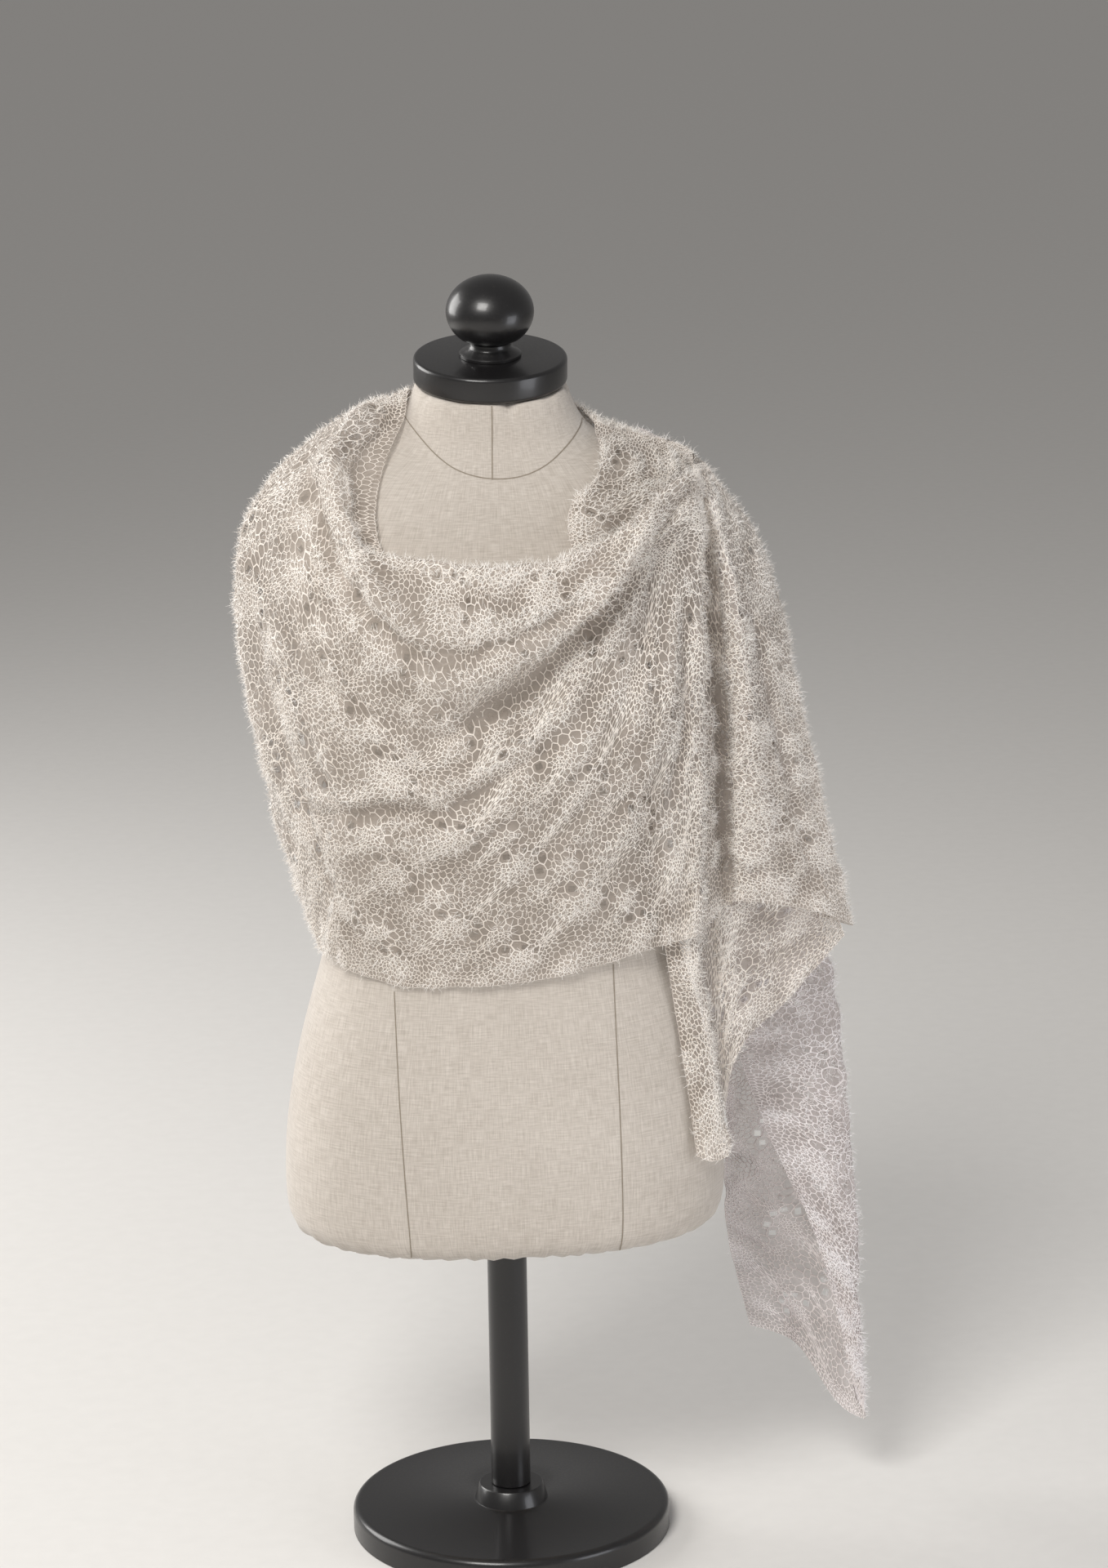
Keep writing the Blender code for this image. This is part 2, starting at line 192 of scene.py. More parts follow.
# Places on the front of the form, x and z in mm. The side seams of the panels run on under the shawl.
FRONT_SEAMS = (
    ((-88.6, 484), (-87.7, 409), (-84.7, 335), (-80.7, 269)),
    ((82.5, 500), (83.4, 442), (84.9, 386), (85.8, 328), (86.0, 289), (84.0, 267)),
    ((-2.4, 943), (-2.7, 910), (-4.1, 883)),
    (
        (-74, 930), (-66, 922), (-58, 913), (-46, 900), (-30, 889), (-6, 883),
        (18, 884), (38, 891), (56, 904), (68, 915), (78, 925), (88, 934),
    ),
)
BACK_SEAMS = (
    ((-84, 560), (-86, 484), (-86, 409), (-84, 335), (-80, 269)),
    ((84, 560), (86, 484), (86, 409), (84, 335), (80, 269)),
    ((0, 560), (0, 480), (0, 400), (0, 330), (0, 268)),
)


linen, shader = new_material(
    "plain woven linen", {"Roughness": 0.92, "Sheen Weight": 0.25, "Sheen Roughness": 0.5, "IOR": 1.45}
)
place = add_node(linen, "ShaderNodeTexCoord").outputs["Object"]
split = add_node(linen, "ShaderNodeSeparateXYZ", None, {"Vector": place})
turn = add_node(
    linen, "ShaderNodeMath", {"operation": "ARCTAN2"}, {0: split.outputs["Y"], 1: split.outputs["X"]}
)
# One turn of the form is about 0.9 m of cloth, so a radian is 0.143 m.
around = add_node(linen, "ShaderNodeMath", {"operation": "MULTIPLY", 1: 0.143}, {0: turn.outputs[0]})
on_cloth = add_node(
    linen, "ShaderNodeCombineXYZ", None, {"X": around.outputs[0], "Y": split.outputs["Z"]}
)
slubs = []
for stretch in ((SLUB_LENGTH, THREAD_SPACING), (THREAD_SPACING, SLUB_LENGTH)):
    scaled = add_node(
        linen,
        "ShaderNodeVectorMath",
        {"operation": "MULTIPLY", 1: (1 / stretch[0], 1 / stretch[1], 0.0)},
        {0: on_cloth.outputs[0]},
    )
    noise = {"Scale": 1.0, "Detail": 2.0}
    slubs.append(add_node(linen, "ShaderNodeTexNoise", noise, {"Vector": scaled.outputs[0]}))
woven = add_node(
    linen, "ShaderNodeMath", {"operation": "ADD"}, {0: slubs[0].outputs["Fac"], 1: slubs[1].outputs["Fac"]}
)
cloud = add_node(linen, "ShaderNodeTexNoise", {"Scale": 9.0, "Detail": 3.0}, {"Vector": place})
shade = add_node(
    linen,
    "ShaderNodeMath",
    {"operation": "MULTIPLY_ADD", 1: 0.5},
    {0: cloud.outputs["Fac"], 2: woven.outputs[0]},
)
mix = add_node(
    linen,
    "ShaderNodeMapRange",
    {"From Min": 0.92, "From Max": 1.58},
    {"Value": shade.outputs[0]},
)
tone = add_node(
    linen,
    "ShaderNodeMix",
    {"data_type": "RGBA", 6: linear(LINEN_DEEP), 7: linear(LINEN_PALE)},
    {0: mix.outputs["Result"]},
)
bump = add_node(
    linen, "ShaderNodeBump", {"Strength": 0.6, "Distance": 0.4 * MM}, {"Height": woven.outputs[0]}
)
linen.node_tree.links.new(tone.outputs[2], shader.inputs["Base Color"])
linen.node_tree.links.new(bump.outputs["Normal"], shader.inputs["Normal"])

form_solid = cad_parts["form_body"]
form_skin = BVHTree.FromPolygons(
    [vertex.co for vertex in form_solid.data.vertices],
    [tuple(face.vertices) for face in form_solid.data.polygons],
)
form = bpy.data.objects.new("form_cover", form_solid.data.copy())
bpy.context.scene.collection.objects.link(form)
form.data.materials.clear()
form.data.materials.append(linen)
bpy.ops.object.select_all(action="DESELECT")
form.select_set(True)
bpy.context.view_layer.objects.active = form
bpy.ops.object.mode_set(mode="EDIT")
bpy.ops.mesh.select_all(action="SELECT")
bpy.ops.mesh.remove_doubles(threshold=0.02 * MM)
bpy.ops.mesh.tris_convert_to_quads()
bpy.ops.mesh.normals_make_consistent(inside=False)
bpy.ops.object.mode_set(mode="OBJECT")
smooth = form.modifiers.new("Smooth", "SUBSURF")
smooth.levels = 2
smooth.render_levels = 2
bpy.ops.object.modifier_apply(modifier=smooth.name)
bpy.ops.object.shade_smooth()
# The cover's lower edge is drawn in on a cord, which leaves it in small uneven puckers.
for point in form.data.vertices:
    height = point.co.z / MM
    turn = math.atan2(point.co.y, point.co.x)
    pucker = math.sin(46 * turn + 1.3 * math.sin(5 * turn)) + 0.6 * math.sin(83 * turn + 2)
    near_edge = math.exp(-(((height - 268) / 9) ** 2))
    outward = Vector((point.co.x, point.co.y, 0)).normalized()
    if height > 262.2:
        point.co += outward * (PUCKER * near_edge * pucker)
        point.co.z -= PUCKER * near_edge * (0.6 + 0.5 * pucker)
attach(form, "root")
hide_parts("form_body")

# Seams of the cover
# The panels of the cover are sewn edge to edge. Each seam is drawn as a narrow ribbon in darker linen
# tones: painted shade that stands in for the shadow in the seam's groove.
seam_shade_paint, shader = new_material("painted shade of a seam groove", {"Roughness": 0.95, "Specular IOR Level": 0.2})
place = add_node(seam_shade_paint, "ShaderNodeTexCoord").outputs["Object"]
seam_shade_noise = add_node(
    seam_shade_paint, "ShaderNodeTexNoise", {"Scale": 1 / (2.2 * MM), "Detail": 1.0}, {"Vector": place}
)
tone = add_node(
    seam_shade_paint,
    "ShaderNodeMix",
    {"data_type": "RGBA", 6: linear(SEAM_GROOVE_SHADE), 7: linear(SEAM_GROOVE_SHADE_PALE)},
    {0: seam_shade_noise.outputs["Fac"]},
)
seam_shade_paint.node_tree.links.new(tone.outputs[2], shader.inputs["Base Color"])
cover_skin = BVHTree.FromPolygons(
    [vertex.co for vertex in form.data.vertices], [tuple(face.vertices) for face in form.data.polygons]
)


def even_points(path, step):
    """Points a step apart on a path that rounds the corners of these places."""
    path = np.array(path, float)
    for _ in range(3):
        cuts = [share * path[:-1] + (1 - share) * path[1:] for share in (0.75, 0.25)]
        path = np.concatenate([path[:1], np.stack(cuts, axis=1).reshape(-1, path.shape[1]), path[-1:]])
    run = np.concatenate([[0], np.cumsum(np.linalg.norm(np.diff(path, axis=0), axis=1))])
    places = np.linspace(0, run[-1], max(2, round(run[-1] / step)))
    return np.stack([np.interp(places, run, path[:, k]) for k in range(path.shape[1])], axis=1)


def seam_shade_ribbon(name, path, facing):
    """A narrow ribbon of painted shade along the form's skin, on its front where facing is -1 and its back
    where 1.
    """
    points, normals = [], []
    for x, z in even_points(np.array(path) * MM, SEAM_STEP):
        hit, normal = cover_skin.ray_cast(Vector((x, facing * 0.5, z)), Vector((0, -facing, 0)), 0.6)[:2]
        if hit is not None:
            points.append(hit)
            normals.append(normal)
    rims = []
    for k, (point, normal) in enumerate(zip(points, normals)):
        ahead = points[min(k + 1, len(points) - 1)] - points[max(k - 1, 0)]
        aside = ahead.cross(normal).normalized() * SEAM_HALF
        rims += [point + normal * SEAM_LIFT - aside, point + normal * SEAM_LIFT + aside]
    faces = [(2 * k, 2 * k + 1, 2 * k + 3, 2 * k + 2) for k in range(len(points) - 1)]
    mesh = bpy.data.meshes.new(name)
    mesh.from_pydata(rims, [], faces)
    mesh.shade_smooth()
    mesh.materials.append(seam_shade_paint)
    seam = bpy.data.objects.new(name, mesh)
    bpy.context.scene.collection.objects.link(seam)
    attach(seam, "root")


for k, path in enumerate(FRONT_SEAMS):
    seam_shade_ribbon("front_seam_shade_" + str(k + 1), path, -1)
for k, path in enumerate(BACK_SEAMS):
    seam_shade_ribbon("back_seam_shade_" + str(k + 1), path, 1)

# Neck cap and knob
# A turned cap closes the neck, tilted with it, and carries a round knob to lift the form by. Both are
# beech in the stand's satin black lacquer.
CAP_RADIUS = 0.0595
CAP_HEIGHT = 0.020
CAP_BEVEL = 0.003
CAP_TILT = math.radians(10)
CAP_UNDERSIDE = 0.9485
KNOB_RADIUS = 0.034
KNOB_HEIGHT = 0.056
KNOB_WAIST = 0.016
KNOB_FOOT = 0.024
KNOB_FOOT_HEIGHT = 0.007
KNOB_WAIST_HEIGHT = 0.004
TOUCH = 0.0003


def seated(piece):
    """Tilts a piece with the neck and sets it on the neck's top."""
    bpy.ops.object.select_all(action="DESELECT")
    piece.select_set(True)
    bpy.context.view_layer.objects.active = piece
    piece.rotation_euler.x = CAP_TILT
    piece.location.z = CAP_UNDERSIDE
    bpy.ops.object.transform_apply(location=True, rotation=True, scale=False)
    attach(piece, "root")


inner = CAP_RADIUS - CAP_BEVEL
cap_profile = [
    *arc((inner, CAP_BEVEL), CAP_BEVEL, -90, 0, 6),
    *arc((inner, CAP_HEIGHT - CAP_BEVEL), CAP_BEVEL, 0, 90, 6),
]
neck_cap = turned("turned_cap", cap_profile, lacquer)
seated(neck_cap)
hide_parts("neck_cap")

foot = CAP_HEIGHT + TOUCH
waist = foot + KNOB_FOOT_HEIGHT
middle = waist + KNOB_HEIGHT / 2
ball = [
    (radius, middle + height * KNOB_HEIGHT / 2 / KNOB_RADIUS)
    for radius, height in arc((0.0, 0.0), KNOB_RADIUS, -45, 88, 24)
]
knob_profile = [
    (KNOB_FOOT, foot),
    (KNOB_FOOT, foot + 0.002),
    (KNOB_FOOT - 0.0015, foot + 0.0035),
    (KNOB_WAIST + 0.001, waist - 0.0006),
    (KNOB_WAIST, waist + 0.0012),
    (KNOB_WAIST, waist + KNOB_WAIST_HEIGHT),
    (KNOB_WAIST + 0.002, waist + KNOB_WAIST_HEIGHT + 0.0016),
    *ball,
]
knob = turned("turned_knob", knob_profile, lacquer)
seated(knob)
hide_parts("finial")

# First end of the shawl
# The shawl is hand-knitted in one length from brushed mohair, in a leaf lace with eyelets at each
# leaf's tip. This end hangs in front from the left shoulder, under all the rest, in a narrow fold.
CELL = 0.021
FINE = 5
REST_CLEARANCE = 0.0043
LAYER_CLEARANCE = 0.0038
HEART_HEIGHT = 0.80
OUTSIDE = 1.5
REPEAT = 4
# Places in the repeat, counted in cells along and across. The tips of the leaves carry an arc of
# large eyelets, and the leaves that stand between them an arc of smaller ones.
LARGE_EYELETS = ((0.5, 0.5), (1.5, 0.5), (1.5, 1.5), (2.5, 2.5), (3.5, 2.5), (3.5, 3.5))
ARC_EYELETS = ((1.0, 0.3), (1.7, 1.0))
SMALL_EYELETS = ((2.12, 1.28), (2.42, 1.18), (2.74, 1.26), (2.82, 1.58), (2.72, 1.88))
EYELET_LEAST_CELL = 0.015
LARGE_REACH = 7.8 * MM
ARC_REACH = 7.4 * MM
SMALL_REACH = 5.6 * MM
HAZE_OPENING = 3.7 * MM
OPEN_STRETCH = 1.15
CLOSE_PITCH = 2.95 * MM
WIDE_PITCH = 4.0 * MM
BORDER_PITCH = 2.9 * MM
BORDER_WIDTH = 11 * MM
CANDIDATE_PITCH = 0.95 * MM
YARN_HALF = 0.32 * MM
EYELET_YARN = 1.5
UNEVEN = 0.3 * MM
STAND_OFF = 0.22 * MM
# A leaf is as long as the repeat's diagonal. Its yarns run together at its foot, fan out from there
# over twice FAN_REACH, and open into small close meshes under its tip. A smaller leaf stands half a
# leaf on, between the large ones. LEAVES holds each one's foot, its axis and its size.
LEAF = REPEAT * CELL / math.sqrt(2)
LEAVES = ((0.62, 0.5, 1.0), (0.16, 0.0, 0.6))
LEAF_GATHER = 0.85
LEAF_STRETCH = 0.8
FOOT_REACH = 11 * MM
FAN_REACH = 22 * MM
FAN_WIDTH = 18 * MM
BODY_PLACE = 33 * MM
BODY_LENGTH = 17 * MM
BODY_WIDTH = 14 * MM
LEAST_RUN = 1.12
FAN_RUN = 0.5
LEAF_RELIEF = 1.1 * MM
FLAT_PROUD = 0.3 * MM
RIDGE_PROUD = 2.2 * MM
CLOTH_RELIEF = 0.9 * MM
HAZE_DEPTH = 0.45 * MM
HAIR_LENGTH = 7.5 * MM
HAIR_WIDTH = 0.34 * MM
HAIRS_PER_SQUARE_METRE = 220000
# Each pale and deep pair is mixed by how thick the mohair lies and by painted light on ridges and painted
# shade in folds.
YARN_CREAM = "#fbf5ee"
YARN_SHADE = "#d9cfc5"
HAZE_CREAM = "#d8cdc3"
HAZE_SHADE = "#9a8f84"
HAZE_ALPHA = 0.5
HAIR_CREAM = "#fffcf8"

FIRST_END_SECTIONS = (
    # shoulder, collar, chest, bust, waist, low, hem
    ((79, -9, 915), (75, -59, 884), (51, -99, 851), (76, -124, 735),
     (112, -76, 590), (127, -66, 490), (147, -84, 339)),
    ((91, -8, 911), (78, -65, 884), (66, -102, 848), (98, -116, 735),
     (128, -78, 590), (143, -70, 485), (160, -88, 336)),
    ((104, -7, 908), (100, -60, 882), (95, -92, 846), (118, -102, 735),
     (143, -74, 590), (156, -68, 480), (173, -82, 341)),
    ((118, -5, 904), (116, -48, 878), (118, -74, 840), (134, -80, 735),
     (152, -54, 595), (162, -46, 480), (173, -52, 356)),
    ((132, -3, 900), (132, -40, 876), (137, -60, 834), (150, -66, 730),
     (165, -44, 620), (176, -42, 520), (184, -46, 411)),
    ((144, -1, 896), (148, -28, 870), (157, -40, 818), (173, -44, 720),
     (194, -34, 620), (212, -28, 540), (229, -22, 449)),
    ((156, 1, 889), (160, -14, 864), (173, -20, 803), (196, -18, 715),
     (226, -14, 620), (252, -8, 556), (276, -4, 494)),
)

def net_of(sections):
    return np.array(sections, float) * MM


def steps_of(net):
    """How many of the repeat's cells lie between each section of a net and the next."""
    gaps = np.linalg.norm(np.diff(net, axis=0), axis=2).mean(axis=1)
    return [max(1, round(gap / CELL)) for gap in gaps]


def filled(net, counts):
    """The net with a smooth curve run through its sections, in the given counts of steps."""
    line = [2 * net[0] - net[1], *net, 2 * net[-1] - net[-2]]
    rows = []
    for i, steps in enumerate(counts):
        a, b, c, d = line[i : i + 4]
        for step in range(steps):
            t = step / steps
            bend = t**2 * (2 * a - 5 * b + 4 * c - d) + t**3 * (3 * b - a - 3 * c + d)
            rows.append(b + (t * (c - a) + bend) / 2)
    rows.append(net[-1])
    return np.array(rows)


def cloth_grid(net):
    """The cloth's middle surface, FINE steps to each of the repeat's cells both ways."""
    along = steps_of(net)
    across = steps_of(filled(net, along).transpose(1, 0, 2))
    rows = filled(net, [count * FINE for count in along])
    return filled(rows.transpose(1, 0, 2), [count * FINE for count in across]).transpose(1, 0, 2)


def normals_of(grid):
    """The grid's normals, away from the inside of the form."""
    across = np.cross(np.gradient(grid, axis=0), np.gradient(grid, axis=1))
    across /= np.linalg.norm(across, axis=2, keepdims=True) + 1e-12
    heart = np.stack([0 * grid[..., 0], 0 * grid[..., 1], np.minimum(grid[..., 2], HEART_HEIGHT)], axis=2)
    if ((grid - heart) * across).sum() < 0:
        across = -across
    return across


def skin_of(grid):
    """A grid of points as faces that can be measured against."""
    along, across = grid.shape[:2]
    corners = [
        (i * across + j, (i + 1) * across + j, (i + 1) * across + j + 1, i * across + j + 1)
        for i in range(along - 1)
        for j in range(across - 1)
    ]
    return BVHTree.FromPolygons([tuple(point) for point in grid.reshape(-1, 3)], corners)


def spread(lift):
    """The lift spread to its neighbours, so that the cloth bends softly over an edge under it."""
    rows, columns = lift.shape
    for pick in (np.max, np.mean):
        wide = np.pad(lift, 2, mode="edge")
        lift = pick([wide[i : i + rows, j : j + columns] for i in range(5) for j in range(5)], axis=0)
    return lift


def laid_over(grid, skins):
    """The grid with each point at least a clearance outside what it lies on, seen from inside the form."""
    ways, lift = np.zeros(grid.shape), np.zeros(grid.shape[:2])
    for place in np.ndindex(grid.shape[:2]):
        point = Vector(grid[place])
        heart = Vector((0.0, 0.0, min(point.z, HEART_HEIGHT)))
        outward = point - heart
        length = outward.length
        reach = length
        outward.normalize()
        for skin, clearance in skins:
            hit = skin.ray_cast(heart + outward * OUTSIDE, -outward, OUTSIDE)[0]
            if hit is not None:
                reach = max(reach, (hit - heart).length + clearance)
        ways[place] = outward
        lift[place] = reach - length
    return grid + ways * spread(lift)[..., None]


def creased(grid, folds):
    """The grid with soft ridges and troughs. A fold is its width and height in mm, then its path in cells."""
    normal = normals_of(grid)
    along, across = np.meshgrid(*(np.arange(size) / FINE for size in grid.shape[:2]), indexing="ij")
    lift = np.zeros(grid.shape[:2])
    for width, height, *path in folds:
        path = np.array(path, float)
        parts = np.linalg.norm(np.diff(path, axis=0), axis=1)
        starts = np.concatenate([[0], np.cumsum(parts)])
        nearest, ahead = np.full(lift.shape, np.inf), np.zeros(lift.shape)
        for (a, b), (next_a, next_b), part, start in zip(path, path[1:], parts, starts):
            run_a, run_b = (next_a - a) / part, (next_b - b) / part
            share = np.clip((along - a) * run_a + (across - b) * run_b, 0, part)
            far = np.hypot(along - a - share * run_a, across - b - share * run_b)
            ahead = np.where(far < nearest, (start + share) / starts[-1], ahead)
            nearest = np.minimum(nearest, far)
        fade = np.sin(math.pi * (0.08 + 0.84 * ahead)) ** 0.7
        lift += height * MM * fade * np.exp(-((nearest * CELL / (width * MM)) ** 2))
    return grid + normal * lift[..., None]


class Cloth:
    """A stretch of the cloth, which is laid out flat by the mean lengths of its rows and columns."""

    def __init__(self, grid, stretch=1.0):
        self.grid = grid
        self.stretch = stretch
        self.normal = normals_of(grid)
        # How far each point stands out of the cloth round it: hairs stand up on a ridge, and the
        # mohair is painted paler on a ridge and darker in a fold, as painted light and shade.
        wide = np.pad(grid, ((3, 3), (3, 3), (0, 0)), mode="edge")
        around = (wide[6:, 3:-3] + wide[:-6, 3:-3] + wide[3:-3, 6:] + wide[3:-3, :-6]) / 4
        proud = ((grid - around) * self.normal).sum(axis=2, keepdims=True)
        self.ridge = np.clip((proud - FLAT_PROUD) / RIDGE_PROUD, -1, 1)
        rows = np.linalg.norm(np.diff(grid, axis=0), axis=2).mean(axis=1)
        columns = np.linalg.norm(np.diff(grid, axis=1), axis=2).mean(axis=0)
        self.along = np.concatenate([[0], np.cumsum(rows)])
        self.across = np.concatenate([[0], np.cumsum(columns)])

    def cells_at(self, s, t):
        """Places on the flat cloth, counted in the repeat's cells."""
        a = np.interp(s, self.along, np.arange(len(self.along))) / FINE
        b = np.interp(t, self.across, np.arange(len(self.across))) / FINE
        return a, b

    def flat_at(self, a, b):
        """The place on the flat cloth, in metres, of a place counted in cells."""
        s = np.interp(a * FINE, np.arange(len(self.along)), self.along)
        t = np.interp(b * FINE, np.arange(len(self.across)), self.across)
        return s, t

    def lifted(self, s, t):
        """Points of the draped cloth and the normals there."""
        return self.read(s, t, self.grid, self.normal)

    def read(self, s, t, *fields):
        """What the fields of the draped cloth hold at places on the flat cloth."""
        a, b = self.cells_at(s, t)
        a, b = a * FINE, b * FINE
        i = np.clip(a.astype(int), 0, len(self.along) - 2)
        j = np.clip(b.astype(int), 0, len(self.across) - 2)
        u, v = (a - i)[..., None], (b - j)[..., None]
        found = []
        for field in fields:
            low = field[i, j] * (1 - v) + field[i, j + 1] * v
            high = field[i + 1, j] * (1 - v) + field[i + 1, j + 1] * v
            found.append(low * (1 - u) + high * u)
        return found


def eyelets_of(cloth, places, stretches, least_in):
    """The middles of the eyelets inside each stretch, in cells, where the cloth has room for them."""
    found = []
    across = (cloth.grid.shape[1] - 1) // FINE
    for first, last in stretches:
        for a in range(first + least_in, last - least_in):
            for b in range(least_in, across - least_in):
                rows = slice(a * FINE, (a + 1) * FINE + 1, FINE)
                corners = cloth.grid[rows, b * FINE : (b + 1) * FINE + 1 : FINE]
                sides = [corners[0, 0] - corners[0, 1], corners[0, 0] - corners[1, 0]]
                sides += [corners[1, 1] - corners[0, 1], corners[1, 1] - corners[1, 0]]
                if min(np.linalg.norm(side) for side in sides) < EYELET_LEAST_CELL:
                    continue
                for place in places:
                    if (a % REPEAT, b % REPEAT) == (int(place[0]), int(place[1])):
                        found.append((a + place[0] % 1, b + place[1] % 1))
    return found


def mesh_of(name, points, faces, material, normal, nap_and_fold_shade):
    """A smooth mesh object of these faces alone, turned to face the way of its points' normals.

    Its material reads an attribute that says how thick the mohair lies at each point, with painted light on
    ridges and painted shade in folds.
    """
    used, index = np.unique(np.concatenate([part.ravel() for part in faces]), return_inverse=True)
    corners, start = [], 0
    for part in faces:
        corners.append(index[start : start + part.size].reshape(part.shape))
        start += part.size
    points = points[used]
    first = points[corners[0][:, 1]] - points[corners[0][:, 0]]
    second = points[corners[0][:, 2]] - points[corners[0][:, 0]]
    if (np.cross(first, second) * normal[used][corners[0][:, 0]]).sum() < 0:
        corners = [part[:, ::-1] for part in corners]
    mesh = bpy.data.meshes.new(name)
    mesh.from_pydata(points.tolist(), [], [face for part in corners for face in part.tolist()])
    mesh.attributes.new("nap_and_fold_shade", "FLOAT", "POINT").data.foreach_set("value", nap_and_fold_shade[used])
    mesh.shade_smooth()
    mesh.materials.append(material)
    piece = bpy.data.objects.new(name, mesh)
    bpy.context.scene.collection.objects.link(piece)
    return piece


def triangle_area(first, second, third):
    return np.linalg.norm(np.cross(second - first, third - first), axis=1) / 2


def soft_waves(s, t, seed, length):
    """A slow uneven wave over the cloth, from -1 to 1."""
    draw = np.random.default_rng(seed)
    total = 0
    for _ in range(6):
        turn, phase, stretch = draw.uniform(0, 2 * math.pi), draw.uniform(0, 6.28), draw.uniform(0.7, 1.6)
        ahead = s * math.cos(turn) + t * math.sin(turn)
        total = total + np.sin(ahead * 2 * math.pi / length / stretch + phase)
    return total / 3.5


def leaves_at(a, b):
    """How the leaves move and close the meshes at places in cells.

    It gives the shift to a leaf's side, the shift towards its tip, both in metres, how close the
    meshes lie, from -1 where wide to 1 inside a leaf, and how long they are drawn, from 0 to 1.
    """
    ahead, aside = (b - a) / REPEAT, (a + b) / REPEAT
    side, tip, close, drawn = 0, 0, -0.8, 0
    for foot, axis, size in LEAVES:
        for leaf_ahead in (-1, 0, 1):
            x = ((foot - ahead + 0.5) % 1 - 0.5 + leaf_ahead) * LEAF / size
            near_foot = np.exp(-((x / np.where(x < 0, FOOT_REACH, FAN_REACH)) ** 2))
            in_fan = (x - FAN_REACH / 2) * np.exp(-(((x - FAN_REACH / 2) / (0.7 * FAN_REACH)) ** 2))
            for leaf_aside in (-1, 0, 1):
                y = ((aside - axis + 0.5) % 1 - 0.5 + leaf_aside) * LEAF / size
                near_axis = np.exp(-((y / FAN_WIDTH) ** 2)) * size
                side = side - LEAF_GATHER * near_foot * y * near_axis
                tip = tip + LEAF_STRETCH * in_fan * near_axis
                drawn = drawn + near_axis * np.exp(-(((x - FAN_REACH / 2) / FAN_REACH) ** 2))
                across_body = (x - BODY_PLACE) / BODY_LENGTH, y / BODY_WIDTH
                close = close + 1.9 * np.exp(-((across_body[0] ** 2 + across_body[1] ** 2) ** 2))
    return side, tip, np.clip(close, -1, 1), np.clip(drawn, 0, 1)


def nap_and_fold_shade_at(cloth, s, t):
    """How thick the mohair lies, from 0 between the leaves and in folds to 1 in the leaves and on ridges.

    The ridge part is painted light and shade: the mohair is drawn paler on ridges and darker in folds.
    """
    close, drawn = leaves_at(*cloth.cells_at(s, t))[2:]
    ridge = cloth.read(s, t, cloth.ridge)[0][..., 0]
    return np.clip(0.42 + 0.42 * close + 0.42 * drawn + 0.6 * ridge, 0, 1)


def relieved(cloth, seed):
    """The cloth with its leaves standing out a little and its surface as uneven as the knitting."""
    s, t = np.meshgrid(cloth.along, cloth.across, indexing="ij")
    a, b = cloth.cells_at(s, t)
    lift = LEAF_RELIEF * leaves_at(a, b)[2] + CLOTH_RELIEF * soft_waves(s, t, seed, 0.035)
    return Cloth(cloth.grid + cloth.normal * lift[..., None], cloth.stretch)


def in_border(cloth, s, t):
    """From 0 at the cloth's hems to 1 inside its borders."""
    edge = np.minimum(np.minimum(t, cloth.across[-1] - t), np.minimum(s, cloth.along[-1] - s))
    return np.clip(edge / BORDER_WIDTH - 0.6, 0, 1)


def gathered(cloth, s, t):
    """Places on the flat cloth, drawn together and out long at each leaf's foot and apart beside it."""
    a, b = cloth.cells_at(s, t)
    side, tip = leaves_at(a, b)[:2]
    share = in_border(cloth, s, t) / math.sqrt(2)
    s, t = s + (side + tip) * share, t + (side - tip) * share
    return np.clip(s, 0, cloth.along[-1]), np.clip(t, 0, cloth.across[-1])


